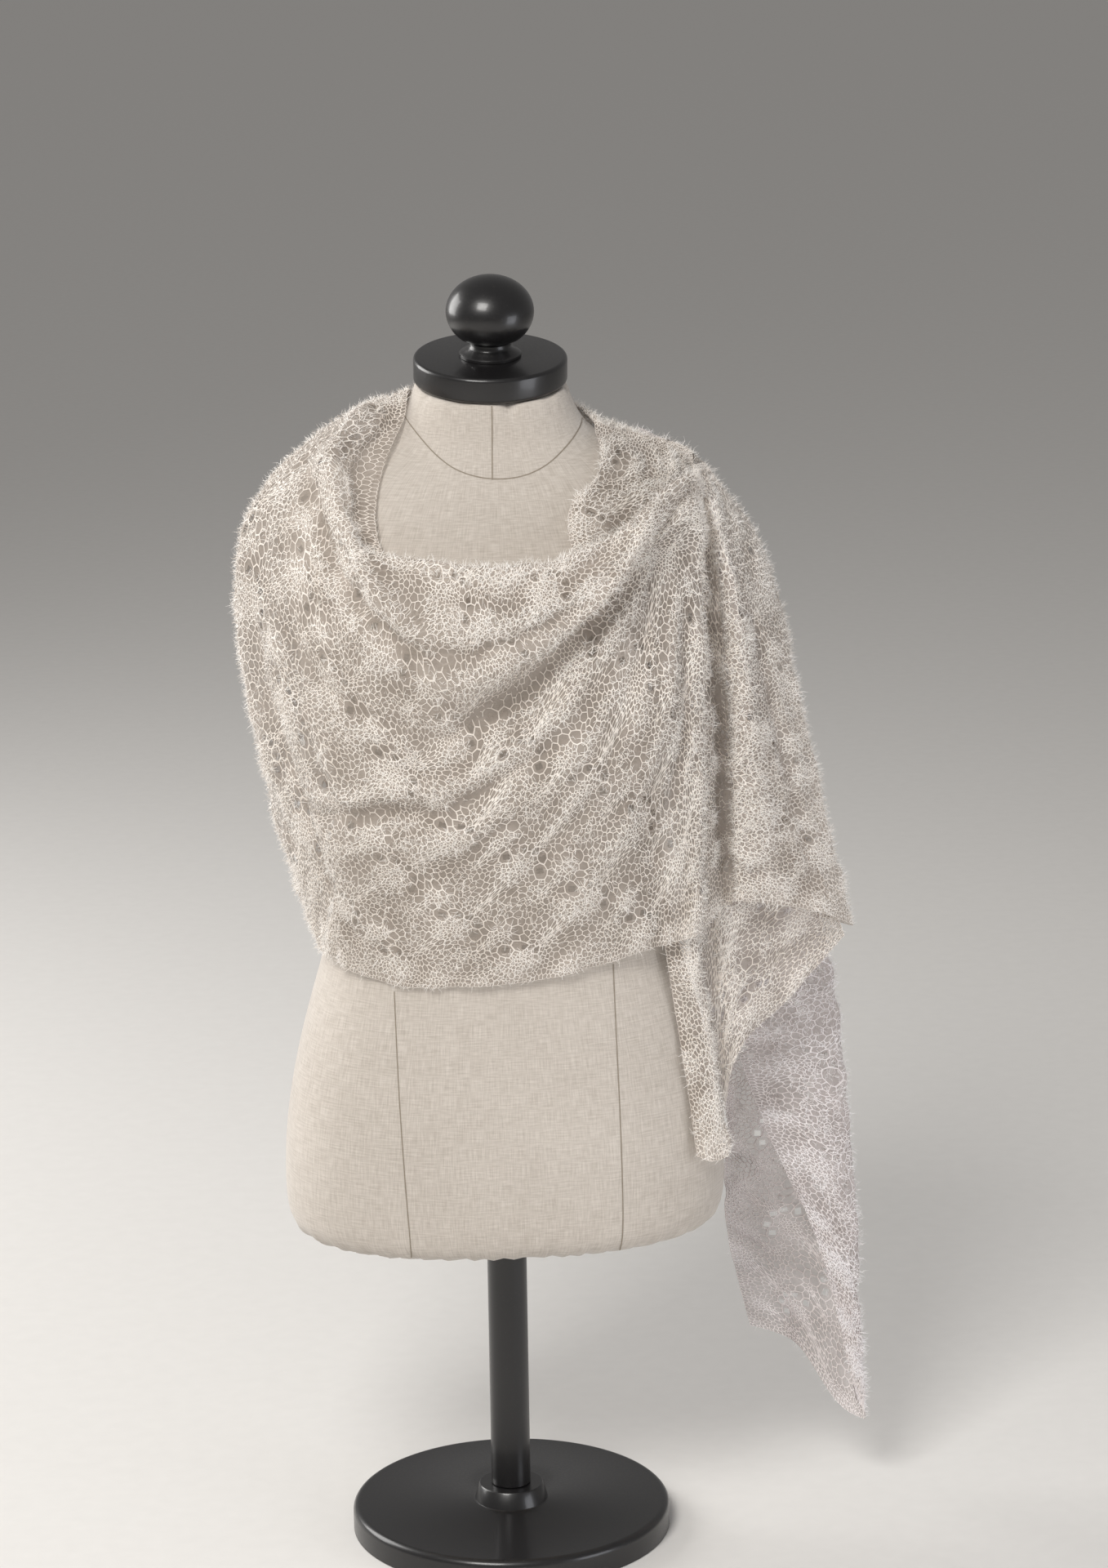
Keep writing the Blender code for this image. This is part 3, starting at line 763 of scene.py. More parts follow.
def meshes_of(cloth, large, arcs, small, seed):
    """The middles of the meshes on the flat cloth, scattered but never nearer than the pitch allows.

    The meshes of the selvedge come last, each followed by its mirror image outside the cloth.
    """
    draw = np.random.default_rng(seed)
    length, width = cloth.along[-1], cloth.across[-1]
    rows = np.arange(2 * BORDER_PITCH, length - 2 * BORDER_PITCH, CANDIDATE_PITCH)
    columns = np.arange(2 * BORDER_PITCH, width - 2 * BORDER_PITCH, CANDIDATE_PITCH)
    s, t = (flat.ravel() for flat in np.meshgrid(rows, columns, indexing="ij"))
    s = s + draw.uniform(-0.6, 0.6, s.shape) * CANDIDATE_PITCH
    t = t + draw.uniform(-0.6, 0.6, t.shape) * CANDIDATE_PITCH
    a, b = cloth.cells_at(s, t)
    close, drawn = leaves_at(a, b)[2:]
    close = np.clip(close + soft_waves(s, t, seed + 4, 0.04) * 0.3, -1, 1)
    pitch = (CLOSE_PITCH + WIDE_PITCH) / 2 - (WIDE_PITCH - CLOSE_PITCH) / 2 * close
    inner = in_border(cloth, s, t)
    reach = 0.8 * (BORDER_PITCH + (pitch - BORDER_PITCH) * inner)
    run = 1 + (LEAST_RUN - 1 + FAN_RUN * drawn * (1 - np.clip(close, 0, 1))) * inner
    long, wide = reach * run, reach / run
    up, out = (s - t) / math.sqrt(2), (s + t) / math.sqrt(2)
    order = draw.permutation(len(s))
    square = 1.0 * MM
    taken, chosen = {}, []
    eyelets = [(place, LARGE_REACH * cloth.stretch) for place in large]
    eyelets += [(place, ARC_REACH * cloth.stretch) for place in arcs]
    eyelets += [(place, SMALL_REACH * cloth.stretch) for place in small]
    blocked = np.zeros(len(s), bool)
    for (a, b), clear in eyelets:
        middle_s, middle_t = cloth.flat_at(a, b)
        middle = (float(middle_s), float(middle_t))
        chosen.append(middle)
        near = (np.abs(s - middle[0]) < clear) & (np.abs(t - middle[1]) < clear)
        blocked[near] |= np.hypot(s[near] - middle[0], t[near] - middle[1]) < clear
    order = order[~blocked[order]]
    for k in order.tolist():
        x, y, far, near = float(up[k]), float(out[k]), float(long[k]), float(wide[k])
        i, j = math.floor(x / square), math.floor(y / square)
        rows, columns = int(far / square) + 1, int(near / square) + 1
        free = True
        for p in range(i - rows, i + rows + 1):
            for q in range(j - columns, j + columns + 1):
                other = taken.get((p, q))
                if other and ((other[0] - x) / far) ** 2 + ((other[1] - y) / near) ** 2 < 1:
                    free = False
                    break
            if not free:
                break
        if free:
            taken[(i, j)] = (x, y)
            chosen.append((float(s[k]), float(t[k])))
    inside = BORDER_PITCH / 2
    steps_along, steps_across = round(length / BORDER_PITCH), round(width / BORDER_PITCH)
    even_s = (np.arange(steps_along) + 0.5) * length / steps_along
    even_t = (np.arange(steps_across)[1:-1] + 0.5) * width / steps_across
    edge = []
    for place in even_s:
        edge += [((place, inside), (place, -inside)), ((place, width - inside), (place, width + inside))]
    for place in even_t:
        edge += [((inside, place), (-inside, place)), ((length - inside, place), (length + inside, place))]
    corners = [(x, y) for x in (-inside, length + inside) for y in (-inside, width + inside)]
    real = chosen + [pair[0] for pair in edge]
    return np.array(real + [pair[1] for pair in edge] + corners), len(real)


def knitted(cloth, parts, stretches, both_faces, material, seed):
    """The yarn of the lace, as a web of strands between its meshes.

    Each mesh is a small polygon round its middle, whose corners are the middles of the triangles
    that join it to its neighbours. The strands are what is left when each polygon is shrunk. Parts
    are the pieces' names, and stretches their first and last cells along the cloth. A cloth whose
    inner face shows has its yarn on both faces.
    """
    draw = np.random.default_rng(seed)
    length, width = cloth.along[-1], cloth.across[-1]
    large = eyelets_of(cloth, LARGE_EYELETS, stretches, 1)
    arcs = eyelets_of(cloth, ARC_EYELETS, [(stretches[0][0], stretches[-1][1])], 1)
    other = [(a + REPEAT / 2, b + REPEAT / 2) for a, b in ARC_EYELETS]
    arcs += eyelets_of(cloth, other, [(stretches[0][0], stretches[-1][1])], 1)
    other = [((a + 2) % REPEAT, (b + 2) % REPEAT) for a, b in SMALL_EYELETS]
    small = eyelets_of(cloth, list(SMALL_EYELETS) + other, [(stretches[0][0], stretches[-1][1])], 1)
    middles, count = meshes_of(cloth, large, arcs, small, seed + 9)
    made = delaunay_2d_cdt([Vector(place) for place in middles], [], [], 0, 1e-9, False)
    flat = np.array([tuple(place) for place in made[0]])
    triangles = np.array(made[2])
    first, second, third = (flat[triangles[:, k]] for k in range(3))
    turn = np.cross(second - first, third - first)
    triangles[turn < 0] = triangles[turn < 0][:, ::-1]
    s, t = flat[triangles].mean(axis=1).T
    s, t = s + draw.normal(scale=UNEVEN, size=s.shape), t + draw.normal(scale=UNEVEN, size=s.shape)
    s, t = np.clip(s, 0, length), np.clip(t, 0, width)
    s, t = gathered(cloth, s, t)
    joints, normal = cloth.lifted(s, t)
    joints = joints + normal * draw.normal(scale=STAND_OFF, size=(len(s), 1))

    flat_corners = triangles.ravel()
    knot_of = np.repeat(np.arange(len(triangles)), 3)
    seen = np.bincount(flat_corners, minlength=len(flat))
    centre = np.stack(
        [np.bincount(flat_corners, joints[knot_of, k], minlength=len(flat)) / seen for k in range(3)], axis=1
    )
    ahead_of = np.roll(triangles, -1, axis=1)
    start, finish = triangles.ravel(), ahead_of.ravel()
    forward = np.roll(np.arange(len(start)).reshape(-1, 3), -1, axis=1).ravel()
    key = np.minimum(start, finish) * len(flat) + np.maximum(start, finish)
    order = np.argsort(key, kind="stable")
    pair = np.flatnonzero(key[order][1:] == key[order][:-1])
    one, two = order[pair], order[pair + 1]
    # Corner 3T + k belongs to triangle T and its k-th mesh. Edge "one" runs from mesh i to mesh j in
    # its triangle, and edge "two" from j to i in the other.
    reach = np.linalg.norm(joints[knot_of[one]] - joints[knot_of[two]], axis=1)
    area, rim = np.zeros(len(flat)), np.zeros(len(flat))
    for mesh in (start[one], finish[one]):
        part = triangle_area(centre[mesh], joints[knot_of[one]], joints[knot_of[two]])
        area += np.bincount(mesh, part, minlength=len(flat))
        rim += np.bincount(mesh, reach, minlength=len(flat))
    half = 2 * area / np.maximum(rim, 1e-9)
    close = leaves_at(*cloth.cells_at(*flat.T))[2]
    yarn = YARN_HALF * (1 - 0.1 * close + 0.15 * soft_waves(*flat.T, seed + 3, 0.05))
    yarn[: len(large + arcs + small)] *= EYELET_YARN
    share = np.clip(1 - yarn / np.maximum(half, 1e-6), 0.1, 0.93)
    ghosts = np.arange(len(flat)) >= count
    share[ghosts] = 1
    corner_share = share[flat_corners][:, None]
    points = centre[flat_corners] + (joints[knot_of] - centre[flat_corners]) * corner_share
    points[ghosts[flat_corners]] = joints[knot_of][ghosts[flat_corners]]
    facing = normal[knot_of]
    strands = np.stack([one, forward[two], two, forward[one]], axis=1)
    knots = np.arange(len(start)).reshape(-1, 3)
    kept = triangle_area(*(points[strands[:, k]] for k in (0, 1, 2))) > 1e-9
    kept |= triangle_area(*(points[strands[:, k]] for k in (0, 2, 3))) > 1e-9
    kept &= ~(ghosts[start[one]] & ghosts[finish[one]])
    strands = strands[kept]
    knots = knots[triangle_area(*(points[knots[:, k]] for k in range(3))) > 1e-9]
    where = cloth.cells_at(s, t)[0][knot_of]
    nap_and_fold_shade = nap_and_fold_shade_at(cloth, s, t)[knot_of]
    if both_faces:
        inner = len(points)
        nap_and_fold_shade = np.concatenate([nap_and_fold_shade, nap_and_fold_shade])
        points = np.concatenate([points, points - 2 * HAZE_DEPTH * facing])
        facing, where = np.concatenate([facing, facing]), np.concatenate([where, where])
        strands = np.concatenate([strands, strands + inner])
        knots = np.concatenate([knots, knots + inner])
    pieces = []
    for part, (first_cell, last_cell) in zip(parts, stretches):
        chosen = []
        for faces in (strands, knots):
            own = where[faces[:, 0]]
            keep = (own >= first_cell) & ((own < last_cell) | (last_cell == stretches[-1][1]))
            chosen.append(faces[keep])
        pieces.append(mesh_of(part + "_yarn", points, chosen, material, facing, nap_and_fold_shade))
    return pieces, large + arcs


def hazy(name, cloth, first, last, openings, material):
    """The haze of hairs in the meshes: a thin sheet just inside the yarn, open at the large eyelets."""
    s, t = np.meshgrid(cloth.along[first * FINE : last * FINE + 1], cloth.across, indexing="ij")
    grid, normal = cloth.lifted(*gathered(cloth, s, t))
    along, across = grid.shape[:2]
    i, j = np.indices((along - 1, across - 1)).reshape(2, -1)
    corner = i * across + j
    faces = np.stack([corner, corner + across, corner + across + 1, corner + 1], axis=1)
    points = (grid - normal * HAZE_DEPTH).reshape(-1, 3)
    keep = np.ones(len(faces), bool)
    moved = np.zeros(len(points), bool)
    for a, b in openings:
        face = int((a - first) * FINE) * (across - 1) + int(b * FINE)
        if first < a < last and not moved[faces[face]].any():
            middle = points[faces[face]].mean(axis=0)
            reach = points[faces[face]] - middle
            reach /= np.linalg.norm(reach, axis=1, keepdims=True)
            points[faces[face]] = middle + reach * HAZE_OPENING
            moved[faces[face]] = True
            keep[face] = False
    nap_and_fold_shade = nap_and_fold_shade_at(cloth, s, t).ravel()
    return mesh_of(name + "_haze", points, [faces[keep]], material, normal.reshape(-1, 3), nap_and_fold_shade)


def hairy(name, cloth, first, last, material, seed):
    """The brushed mohair's free hairs: short bent ribbons that stand off the yarn all over."""
    draw = np.random.default_rng(seed)
    low, high = cloth.along[first * FINE], cloth.along[last * FINE]
    count = int((high - low) * cloth.across[-1] * HAIRS_PER_SQUARE_METRE)
    s, t = draw.uniform(low, high, count), draw.uniform(0, cloth.across[-1], count)
    ridge = cloth.read(s, t, cloth.ridge)[0][..., 0]
    stays = draw.uniform(0, 1, count) < 0.5 + ridge
    s, t, count = s[stays], t[stays], int(stays.sum())
    root, normal = cloth.lifted(s, t)
    aside = np.cross(normal, draw.normal(size=(count, 3)))
    aside /= np.linalg.norm(aside, axis=1, keepdims=True)
    rise = draw.uniform(0.15, 1.1, (count, 1))
    first_way = aside + normal * rise
    first_way /= np.linalg.norm(first_way, axis=1, keepdims=True)
    second_way = first_way + draw.normal(scale=0.55, size=(count, 3)) - normal * rise * 0.4
    second_way /= np.linalg.norm(second_way, axis=1, keepdims=True)
    half = HAIR_LENGTH / 2 * draw.uniform(0.5, 1.3, (count, 1))
    middle = root + first_way * half
    tip = middle + second_way * half
    flat = np.cross(first_way, normal)
    flat *= HAIR_WIDTH / 2 / (np.linalg.norm(flat, axis=1, keepdims=True) + 1e-9)
    points = np.stack([root - flat, root + flat, middle + flat * 0.8, middle - flat * 0.8, tip], axis=1)
    start = 5 * np.arange(count)[:, None]
    faces = [start + np.array([[0, 1, 2, 3]]), start + np.array([[3, 2, 4]])]
    facing, nap_and_fold_shade = np.repeat(normal, 5, axis=0), np.repeat(nap_and_fold_shade_at(cloth, s, t), 5)
    return mesh_of(name + "_hair", points.reshape(-1, 3), faces, material, facing, nap_and_fold_shade)


def mohair(name, sockets, pale, deep, alpha=1.0):
    """Brushed mohair: matt, with a pale sheen at a glancing angle, slow changes of tone, and painted light on
    ridges and painted shade in folds.
    """
    material, shader = new_material(name, {"Roughness": 0.95, "Alpha": alpha, **sockets})
    place = add_node(material, "ShaderNodeTexCoord").outputs["Object"]
    slow = add_node(material, "ShaderNodeTexNoise", {"Scale": 38.0, "Detail": 3.0}, {"Vector": place})
    quick = add_node(material, "ShaderNodeTexNoise", {"Scale": 900.0, "Detail": 2.0}, {"Vector": place})
    both = add_node(
        material,
        "ShaderNodeMath",
        {"operation": "MULTIPLY_ADD", 1: 0.45},
        {0: quick.outputs["Fac"], 2: slow.outputs["Fac"]},
    )
    uneven = add_node(
        material,
        "ShaderNodeMapRange",
        {"From Min": 0.5, "From Max": 0.95, "To Max": 0.5},
        {"Value": both.outputs[0]},
    )
    # This attribute mixes the tones: paler where the leaves' mohair lies thick, and painted light on ridges
    # and painted shade in folds.
    nap_and_fold_shade = add_node(material, "ShaderNodeAttribute", {"attribute_name": "nap_and_fold_shade"})
    mix = add_node(
        material,
        "ShaderNodeMath",
        {"operation": "MULTIPLY_ADD", 1: 0.5},
        {0: nap_and_fold_shade.outputs["Fac"], 2: uneven.outputs["Result"]},
    )
    tone = add_node(
        material,
        "ShaderNodeMix",
        {"data_type": "RGBA", 6: linear(deep), 7: linear(pale)},
        {0: mix.outputs[0]},
    )
    bump = add_node(
        material, "ShaderNodeBump", {"Strength": 0.5, "Distance": 0.3 * MM}, {"Height": quick.outputs["Fac"]}
    )
    material.node_tree.links.new(tone.outputs[2], shader.inputs["Base Color"])
    material.node_tree.links.new(bump.outputs["Normal"], shader.inputs["Normal"])
    return material


SHEEN = {"Sheen Weight": 0.4, "Sheen Roughness": 0.45, "Sheen Tint": (1, 1, 1, 1), "Specular IOR Level": 0.2}
warm_skein = (
    mohair("brushed mohair yarn", SHEEN, YARN_CREAM, YARN_SHADE),
    mohair("haze of mohair hairs", SHEEN, HAZE_CREAM, HAZE_SHADE, HAZE_ALPHA),
    mohair("free mohair hairs", {"Specular IOR Level": 0.2}, HAIR_CREAM, YARN_CREAM),
)


def dressed(cloth, skein, parts, stretches, flats, both_faces, seed):
    """Makes the yarn, haze and hairs of each stretch of a cloth, in place of its solid."""
    yarn, haze, hair = skein
    cloth = relieved(cloth, seed + 5)
    yarns, large = knitted(cloth, parts, stretches, both_faces, yarn, seed)
    for part, (first, last), strands, flat in zip(parts, stretches, yarns, flats):
        sheet = hazy(part, cloth, first, last, large, haze)
        fuzz = hairy(part, cloth, first, last, hair, seed + 7 + first)
        for piece in (strands, sheet, fuzz):
            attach(piece, "root")
        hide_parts(part)


FIRST_END_FOLDS = (
    # width, height, then places along and across
    (9, 3.0, (0.8, 3), (1.0, 14), (1.2, 25)),
    (7, -3.0, (2.0, 4), (2.2, 15), (2.6, 25)),
    (9, 3.5, (3.4, 6), (3.8, 16), (4.2, 26)),
    (10, -3.5, (5.0, 5), (5.4, 15), (6.0, 25)),
)
form_under = (form_skin, REST_CLEARANCE)
first_end = laid_over(creased(cloth_grid(net_of(FIRST_END_SECTIONS)), FIRST_END_FOLDS), [form_under])
first_end = Cloth(first_end, OPEN_STRETCH)
first_end_cells = (first_end.grid.shape[0] - 1) // FINE
dressed(first_end, warm_skein, ["first_end"], [(0, first_end_cells)], [(0.16, 0.50)], True, 11)

# Back wrap, front panel and shoulder drape
# The next length of the shawl goes round the neck and the back, over the right shoulder and across the
# chest, where its upper edge rolls over into a cowl, and over the left shoulder again.
WRAP_SECTIONS = (
    # collar, nape, shoulder, blade, rib, waist, hem
    ((78, -8, 914), (90, -6, 911), (104, -4, 907), (118, -3, 903),
     (132, -1, 899), (145, 1, 895), (158, 3, 887)),
    ((66, 22, 915), (84, 30, 911), (104, 37, 903), (124, 45, 889),
     (146, 50, 868), (160, 54, 842), (167, 58, 812)),
    ((46, 48, 922), (62, 64, 914), (80, 80, 898), (98, 92, 870),
     (110, 98, 835), (114, 102, 795), (112, 105, 755)),
    ((14, 64, 928), (18, 80, 918), (24, 96, 898), (30, 109, 862),
     (34, 115, 815), (34, 118, 765), (30, 118, 712)),
    ((-22, 62, 929), (-32, 78, 918), (-42, 95, 900), (-50, 109, 862),
     (-52, 115, 800), (-50, 113, 730), (-46, 108, 650)),
    ((-48, 44, 930), (-72, 60, 920), (-100, 80, 890), (-122, 94, 850),
     (-126, 99, 780), (-116, 95, 685), (-100, 86, 580)),
    ((-58, 27, 932), (-93, 37, 924), (-145, 48, 879), (-178, 56, 825),
     (-176, 60, 730), (-154, 58, 630), (-130, 48, 530)),
    ((-61, 6, 935), (-102, 8, 930), (-173, 10, 873), (-200, 12, 800),
     (-191, 12, 690), (-169, 12, 585), (-143, 12, 500)),
)
PANEL_SECTIONS = (
    # inner edge, crest, roll, valley, belly, waist, hem
    ((-66, -20, 919), (-106, -22, 925), (-171, -22, 869), (-198, -24, 800),
     (-189, -30, 690), (-168, -32, 585), (-144, -28, 503)),
    ((-77, -58, 872), (-125, -62, 893), (-152, -64, 850), (-177, -68, 780),
     (-172, -76, 695), (-159, -66, 600), (-140, -46, 504)),
    ((-86, -95, 832), (-113, -107, 843), (-126, -116, 800), (-131, -118, 738),
     (-133, -112, 661), (-129, -92, 575), (-122, -68, 497)),
    ((-66, -114, 815), (-84, -131, 833), (-92, -148, 795), (-88, -140, 715),
     (-86, -134, 650), (-87, -112, 567), (-85, -90, 490)),
    ((-36, -118, 800), (-38, -148, 829), (-43, -166, 780), (-41, -146, 702),
     (-39, -140, 637), (-40, -121, 562), (-41, -103, 491)),
    ((-3, -120, 796), (-5, -153, 826), (-6, -169, 784), (4, -140, 725),
     (10, -144, 656), (10, -124, 574), (9, -106, 493)),
    ((37, -125, 800), (31, -145, 826), (36, -160, 796), (50, -130, 759),
     (60, -144, 680), (60, -120, 584), (64, -98, 501)),
    ((75, -116, 808), (73, -130, 839), (77, -145, 814), (92, -117, 796),
     (102, -133, 708), (102, -108, 598), (106, -84, 509)),
    ((108, -92, 828), (109, -111, 856), (114, -122, 841), (122, -98, 822),
     (132, -116, 721), (133, -100, 613), (132, -78, 514)),
    ((143, -60, 860), (147, -68, 880), (151, -80, 860), (149, -84, 815),
     (148, -102, 720), (148, -94, 617), (150, -80, 520)),
    ((152, -48, 884), (156, -56, 868), (157, -62, 830), (156, -68, 775),
     (157, -78, 690), (158, -74, 605), (161, -64, 527)),
)
DRAPE_SECTIONS = (
    # shoulder, upper, bust, rib, waist, low, hem
    ((156, -38, 885), (162, -48, 850), (165, -52, 800), (168, -52, 735),
     (170, -52, 665), (172, -50, 600), (174, -46, 534)),
    ((160, -28, 884), (170, -56, 842), (178, -70, 785), (181, -72, 725),
     (183, -72, 660), (185, -68, 600), (187, -62, 541)),
    ((163, -15, 882), (188, -36, 830), (204, -46, 772), (214, -46, 715),
     (224, -45, 655), (234, -40, 592), (244, -34, 524)),
    ((167, -2, 878), (206, -8, 823), (228, -5, 757), (238, -1, 700),
     (250, 2, 645), (265, 4, 575), (284, 4, 500)),
    ((163, 14, 882), (197, 22, 820), (213, 27, 755), (226, 32, 698),
     (240, 34, 640), (256, 32, 572), (271, 30, 497)),
    ((156, 27, 886), (182, 40, 828), (195, 46, 765), (204, 49, 705),
     (214, 50, 642), (226, 47, 577), (238, 42, 508)),
)
BAND_FOLDS = (
    # width, height, then places along and across
    # The deep fold that runs down from the left shoulder, and the full roll over it
    (8, -13.0, (41.2, 3.0), (39.4, 4.1), (37.2, 5.3), (35.6, 6.5), (33.6, 6.9), (31.4, 6.8), (30.0, 7.6)),
    (11, 11.0, (41.0, 1.6), (39.4, 2.4), (37.6, 3.6), (35.6, 4.8), (33.4, 5.4), (31.0, 5.4)),
    (12, 8.5, (39.6, 5.8), (37.2, 7.2), (34.6, 8.3), (31.8, 8.3)),
    # The cowl's full roll and the hollow under it
    (7, 13.0, (21.4, 1.8), (23.4, 2.0), (25.0, 2.0), (26.4, 1.9), (27.8, 2.0)),
    (8, 8.0, (27.4, 2.0), (30.0, 2.1), (34.0, 2.0), (38.0, 2.1), (40.6, 2.2)),
    (9, -12.0, (21.6, 0.4), (23.8, 0.5), (26.0, 0.6), (27.4, 0.8)),
    # Creases round the cowl, and the sharp fold that stands up at its right-hand end
    (6, -5.0, (27.4, 3.6), (29.0, 4.6), (31.2, 4.7), (33.6, 4.6), (36.0, 4.2), (38.4, 3.0)),
    (7, 4.0, (28.6, 5.2), (30.4, 5.4), (32.0, 5.3)),
    (5, -3.5, (28.6, 2.6), (30.6, 3.2), (33.0, 3.3), (35.6, 3.2), (37.6, 2.4)),
    (6, 3.0, (29.0, 1.8), (31.4, 2.4), (34.0, 2.5)),
    (6, 10.0, (26.8, 1.9), (28.2, 2.8), (29.4, 3.8), (30.4, 4.6)),
    (6, -10.0, (22.0, 3.2), (24.4, 3.2), (26.0, 3.2), (27.4, 3.4), (28.8, 4.3), (29.8, 5.3)),
    # Soft folds across the belly
    (6, -6.5, (25.0, 12.0), (27.4, 11.2), (29.4, 10.3), (31.6, 9.4), (33.4, 9.2), (35.0, 9.0)),
    (8, 5.0, (26.0, 11.2), (28.4, 10.0), (30.6, 8.9), (32.6, 8.6)),
    (9, 4.0, (26.6, 12.8), (29.0, 11.8), (31.6, 10.8), (34.0, 10.2)),
    (5, -4.5, (25.6, 9.0), (26.6, 10.4), (28.0, 11.2)),
    (6, -4.0, (23.6, 6.4), (26.0, 7.2), (28.4, 7.4), (30.4, 7.0)),
    (8, -4.5, (39.8, 5.0), (38.0, 8.0), (35.2, 11.4), (32.6, 14.0)),
    (9, 4.5, (40.2, 6.4), (38.8, 9.4), (36.6, 12.6), (34.4, 15.0)),
    (8, -4.5, (40.4, 8.6), (39.4, 11.4), (37.8, 14.6)),
    (7, -3.5, (39.0, 6.4), (36.4, 9.2), (34.0, 11.2)),
    (10, 3.0, (24.4, 5.6), (25.2, 9.6), (27.2, 13.6)),
    (8, -4.5, (22.6, 5.0), (23.6, 9.6), (25.4, 13.0), (27.2, 16.2)),
    (9, 5.0, (21.4, 5.6), (22.4, 9.8), (24.0, 13.6)),
    # The dark fold beside the left flank, and the long pleats of the drape
    (7, -8.0, (42.4, 3.0), (42.6, 8.0), (43.0, 13.0), (43.2, 17.4)),
    (9, 5.0, (41.2, 4.0), (41.2, 10.0), (41.0, 17.0)),
    (9, 6.0, (44.2, 3.0), (44.6, 9.0), (44.9, 17.0)),
    (6, -5.5, (45.4, 4.0), (46.0, 10.0), (46.4, 16.5)),
    (7, 4.0, (47.0, 4.0), (47.4, 10.0), (47.6, 16.5)),
    (7, -4.5, (48.4, 3.0), (48.6, 9.0), (48.8, 16.0)),
    # The back, drawn from both shoulders and hanging in soft swags between them
    (12, -4.0, (3.4, 3.0), (8.0, 6.0), (12.6, 7.0), (17.0, 5.0)),
    (13, 4.0, (3.0, 5.0), (8.0, 8.6), (12.8, 9.6), (17.4, 7.0)),
    (11, -3.5, (3.4, 7.6), (8.0, 11.4), (12.6, 12.6), (17.6, 10.0)),
    (9, -3.0, (5.0, 1.4), (9.0, 3.4), (13.0, 3.8), (17.0, 2.4)),
    (10, 3.0, (16.0, 9.0), (18.6, 12.0), (20.2, 16.0)),
    (9, -3.0, (13.6, 9.6), (15.8, 13.0), (17.2, 17.0)),
)
band_net = net_of(WRAP_SECTIONS + PANEL_SECTIONS + DRAPE_SECTIONS)
band_steps = steps_of(band_net)
side = sum(band_steps[: len(WRAP_SECTIONS) - 1])
flank = sum(band_steps[: len(WRAP_SECTIONS + PANEL_SECTIONS) - 1])
end = sum(band_steps)
band = creased(cloth_grid(band_net), BAND_FOLDS)
wrap = laid_over(band[: side * FINE + 1], [form_under])
end_under = (skin_of(first_end.grid), LAYER_CLEARANCE)
panel = laid_over(band[side * FINE : flank * FINE + 1], [form_under, end_under])
wrap_under = (skin_of(wrap), LAYER_CLEARANCE)
drape = laid_over(band[flank * FINE :], [form_under, end_under, wrap_under])
band = np.concatenate([wrap, panel[1:], drape[1:]])
dressed(
    Cloth(band),
    warm_skein,
    ["back_wrap", "front_panel", "shoulder_drape"],
    [(0, side), (side, flank), (flank, end)],
    [(0.35, 0.36), (0.42, 0.46), (0.38, 0.20)],
    False,
    31,
)

# Back tail
# The other end is thrown over the left shoulder and hangs free behind it, folded lengthwise, with its
# plain hem slanting down to a long tip.
# Its yarn is drawn in a lit copy of the shawl's colours: a cooler, paler off-white with a trace of lilac,
# painted light that stands in for cool daylight on this end, so the end looks paler than the panel.
COOL_LIT_YARN, COOL_LIT_YARN_SHADE = "#fbf6f6", "#dbd2cf"
COOL_LIT_HAZE, COOL_LIT_HAZE_SHADE = "#d9d0ce", "#9d938f"
COOL_LIT_HAIR = "#fefcfd"
cool_lit_mohair = (
    mohair("brushed mohair yarn, painted cool daylight", SHEEN, COOL_LIT_YARN, COOL_LIT_YARN_SHADE),
    mohair("haze of mohair hairs, painted cool daylight", SHEEN, COOL_LIT_HAZE, COOL_LIT_HAZE_SHADE, HAZE_ALPHA),
    mohair("free mohair hairs, painted cool daylight", {"Specular IOR Level": 0.2}, COOL_LIT_HAIR, COOL_LIT_YARN),
)
TAIL_SECTIONS = (
    # shoulder, upper, blade, waist, hip, thigh, low, hem
    ((150, 34, 887), (184, 58, 800), (200, 64, 690), (198, 54, 560),
     (186, 36, 430), (212, 21, 332), (258, 22, 222), (291, 30, 82)),
    ((156, 39, 883), (196, 62, 800), (223, 70, 690), (253, 64, 570),
     (277, 52, 440), (289, 43, 303), (295, 36, 180), (299, 34, 64)),
    ((152, 47, 884), (188, 75, 800), (211, 87, 690), (236, 86, 560),
     (256, 85, 430), (268, 80, 320), (276, 70, 215), (278, 54, 70)),
    ((143, 55, 888), (170, 87, 800), (184, 107, 690), (202, 110, 560),
     (220, 106, 430), (233, 99, 320), (241, 84, 220), (250, 63, 114)),
    ((132, 59, 893), (152, 86, 800), (162, 94, 690), (176, 93, 560),
     (190, 91, 430), (204, 88, 320), (213, 76, 225), (231, 58, 132)),
    ((120, 62, 898), (130, 88, 800), (139, 102, 700), (149, 106, 580),
     (166, 104, 440), (188, 88, 320), (184, 70, 238), (205, 62, 140)),
)
TAIL_FOLDS = (
    # width, height, then places along and across
    (8, 5.5, (0.6, 6), (0.8, 18), (1.0, 30)),
    (7, -5.5, (1.9, 3), (2.2, 16), (2.0, 30)),
    (9, 5.0, (3.2, 5), (3.4, 18), (3.2, 36)),
    (7, -5.5, (4.6, 3), (4.9, 17), (4.8, 33)),
    (9, 5.0, (6.0, 5), (6.2, 20), (5.8, 37)),
    (8, -4.0, (7.2, 8), (7.4, 22), (7.0, 36)),
    (10, -5.0, (1.6, 33), (3.4, 34.4), (5.6, 35)),
    (7, 6.0, (6.2, 27), (6.8, 29), (7.6, 31)),
    (6, -5.0, (5.6, 29), (6.4, 31), (7.4, 32.6)),
)
under_tail = [form_under, wrap_under, (skin_of(drape), LAYER_CLEARANCE)]
tail = laid_over(creased(cloth_grid(net_of(TAIL_SECTIONS)), TAIL_FOLDS), under_tail)
tail = Cloth(tail, OPEN_STRETCH)
tail_cells = (tail.grid.shape[0] - 1) // FINE
dressed(tail, cool_lit_mohair, ["back_tail"], [(0, tail_cells)], [(0.16, 0.82)], True, 71)

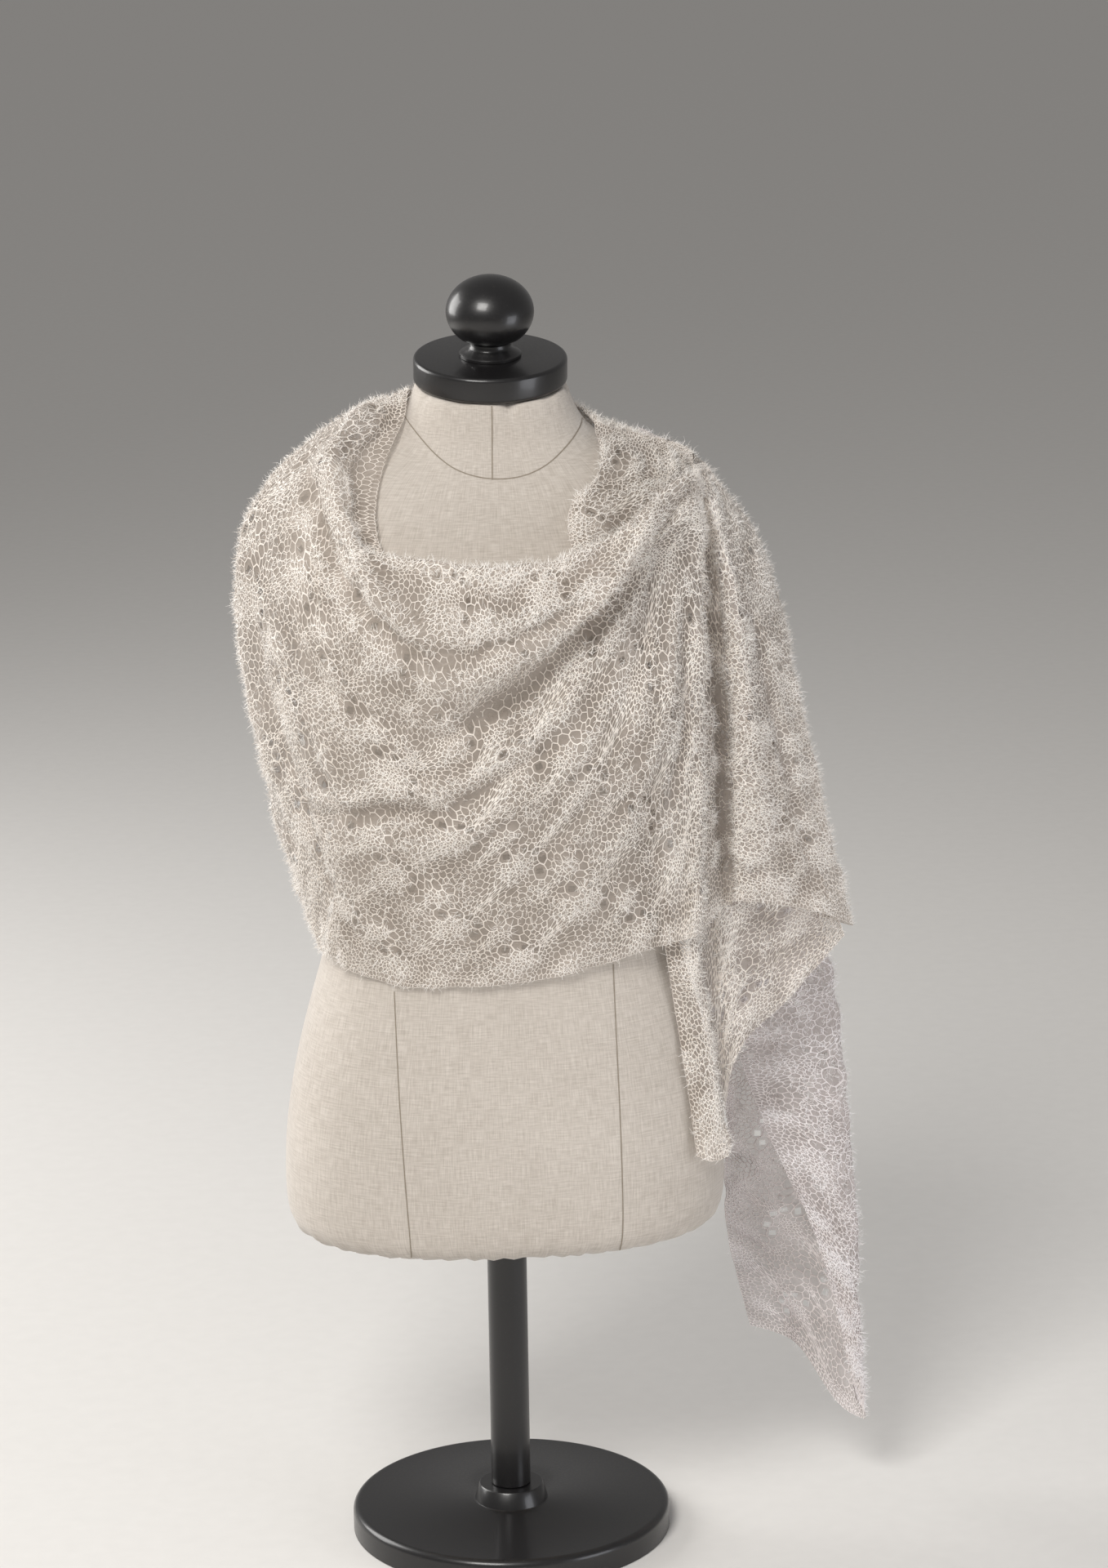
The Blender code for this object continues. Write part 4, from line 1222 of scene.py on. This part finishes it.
# Floor, light and camera
# A plain pale floor, a large soft window light from the left, a wide soft fill from the front and above,
# and a weak cool one from the right.
FLOOR_PALE = "#e4e2df"
paint, shader = new_material("pale floor paint", {"Roughness": 0.9, "Specular IOR Level": 0.2})
place = add_node(paint, "ShaderNodeTexCoord").outputs["Object"]
grain = add_node(paint, "ShaderNodeTexNoise", {"Scale": 60.0, "Detail": 4.0}, {"Vector": place})
tone = add_node(
    paint,
    "ShaderNodeMix",
    {"data_type": "RGBA", 6: linear(FLOOR_PALE), 7: linear("#eae8e5")},
    {0: grain.outputs["Fac"]},
)
paint.node_tree.links.new(tone.outputs[2], shader.inputs["Base Color"])
bpy.ops.mesh.primitive_plane_add(size=60)
floor = bpy.context.object
floor.name = "floor"
floor.data.materials.append(paint)


def soft_light(name, place, aim, width, height, watts, colour):
    lamp = bpy.data.lights.new(name, "AREA")
    lamp.shape = "RECTANGLE"
    lamp.size = width
    lamp.size_y = height
    lamp.energy = watts
    lamp.color = colour
    held = bpy.data.objects.new(name, lamp)
    held.location = place
    held.rotation_euler = (Vector(aim) - Vector(place)).to_track_quat("-Z", "Y").to_euler()
    bpy.context.scene.collection.objects.link(held)


soft_light("window", (-2.3, 1.3, 1.6), (0, 0, 0.65), 1.6, 1.8, 58, (1.0, 0.985, 0.965))
soft_light("front_fill", (-1.1, -2.3, 2.9), (0, 0, 0.6), 1.3, 1.3, 84, (1.0, 0.98, 0.95))
soft_light("cool_side", (1.6, -1.1, 0.5), (0.25, 0, 0.35), 0.9, 0.9, 9.0, (0.92, 0.94, 1.0))

world = bpy.data.worlds.new("pale room")
world.use_nodes = True
world.node_tree.nodes["Background"].inputs["Color"].default_value = linear("#e2e0de")
world.node_tree.nodes["Background"].inputs["Strength"].default_value = 0.36
bpy.context.scene.world = world

AZIMUTH = math.radians(-4)
ELEVATION = math.radians(14)
ROLL = math.radians(-0.9)
DISTANCE = 3.5
AIM = Vector((0.0441, -0.0031, 0.626))
# The photo's long side of 1920 pixels is 36 mm on the sensor, and 5426 pixels are one focal length.
LENS = 36 * 5426.4 / 1920
back = Vector(
    (
        math.sin(AZIMUTH) * math.cos(ELEVATION),
        -math.cos(AZIMUTH) * math.cos(ELEVATION),
        math.sin(ELEVATION),
    )
)
level_right = Vector((math.cos(AZIMUTH), math.sin(AZIMUTH), 0.0))
level_up = back.cross(level_right)
right = level_right * math.cos(ROLL) + level_up * math.sin(ROLL)
up = level_up * math.cos(ROLL) - level_right * math.sin(ROLL)
camera = bpy.data.objects.new("camera", bpy.data.cameras.new("camera"))
camera.data.lens = LENS
camera.data.sensor_width = 36
camera.location = AIM + back * DISTANCE
camera.rotation_euler = Matrix((right, up, back)).transposed().to_euler()
bpy.context.scene.collection.objects.link(camera)
bpy.context.scene.camera = camera
bpy.context.scene.view_settings.view_transform = "Standard"
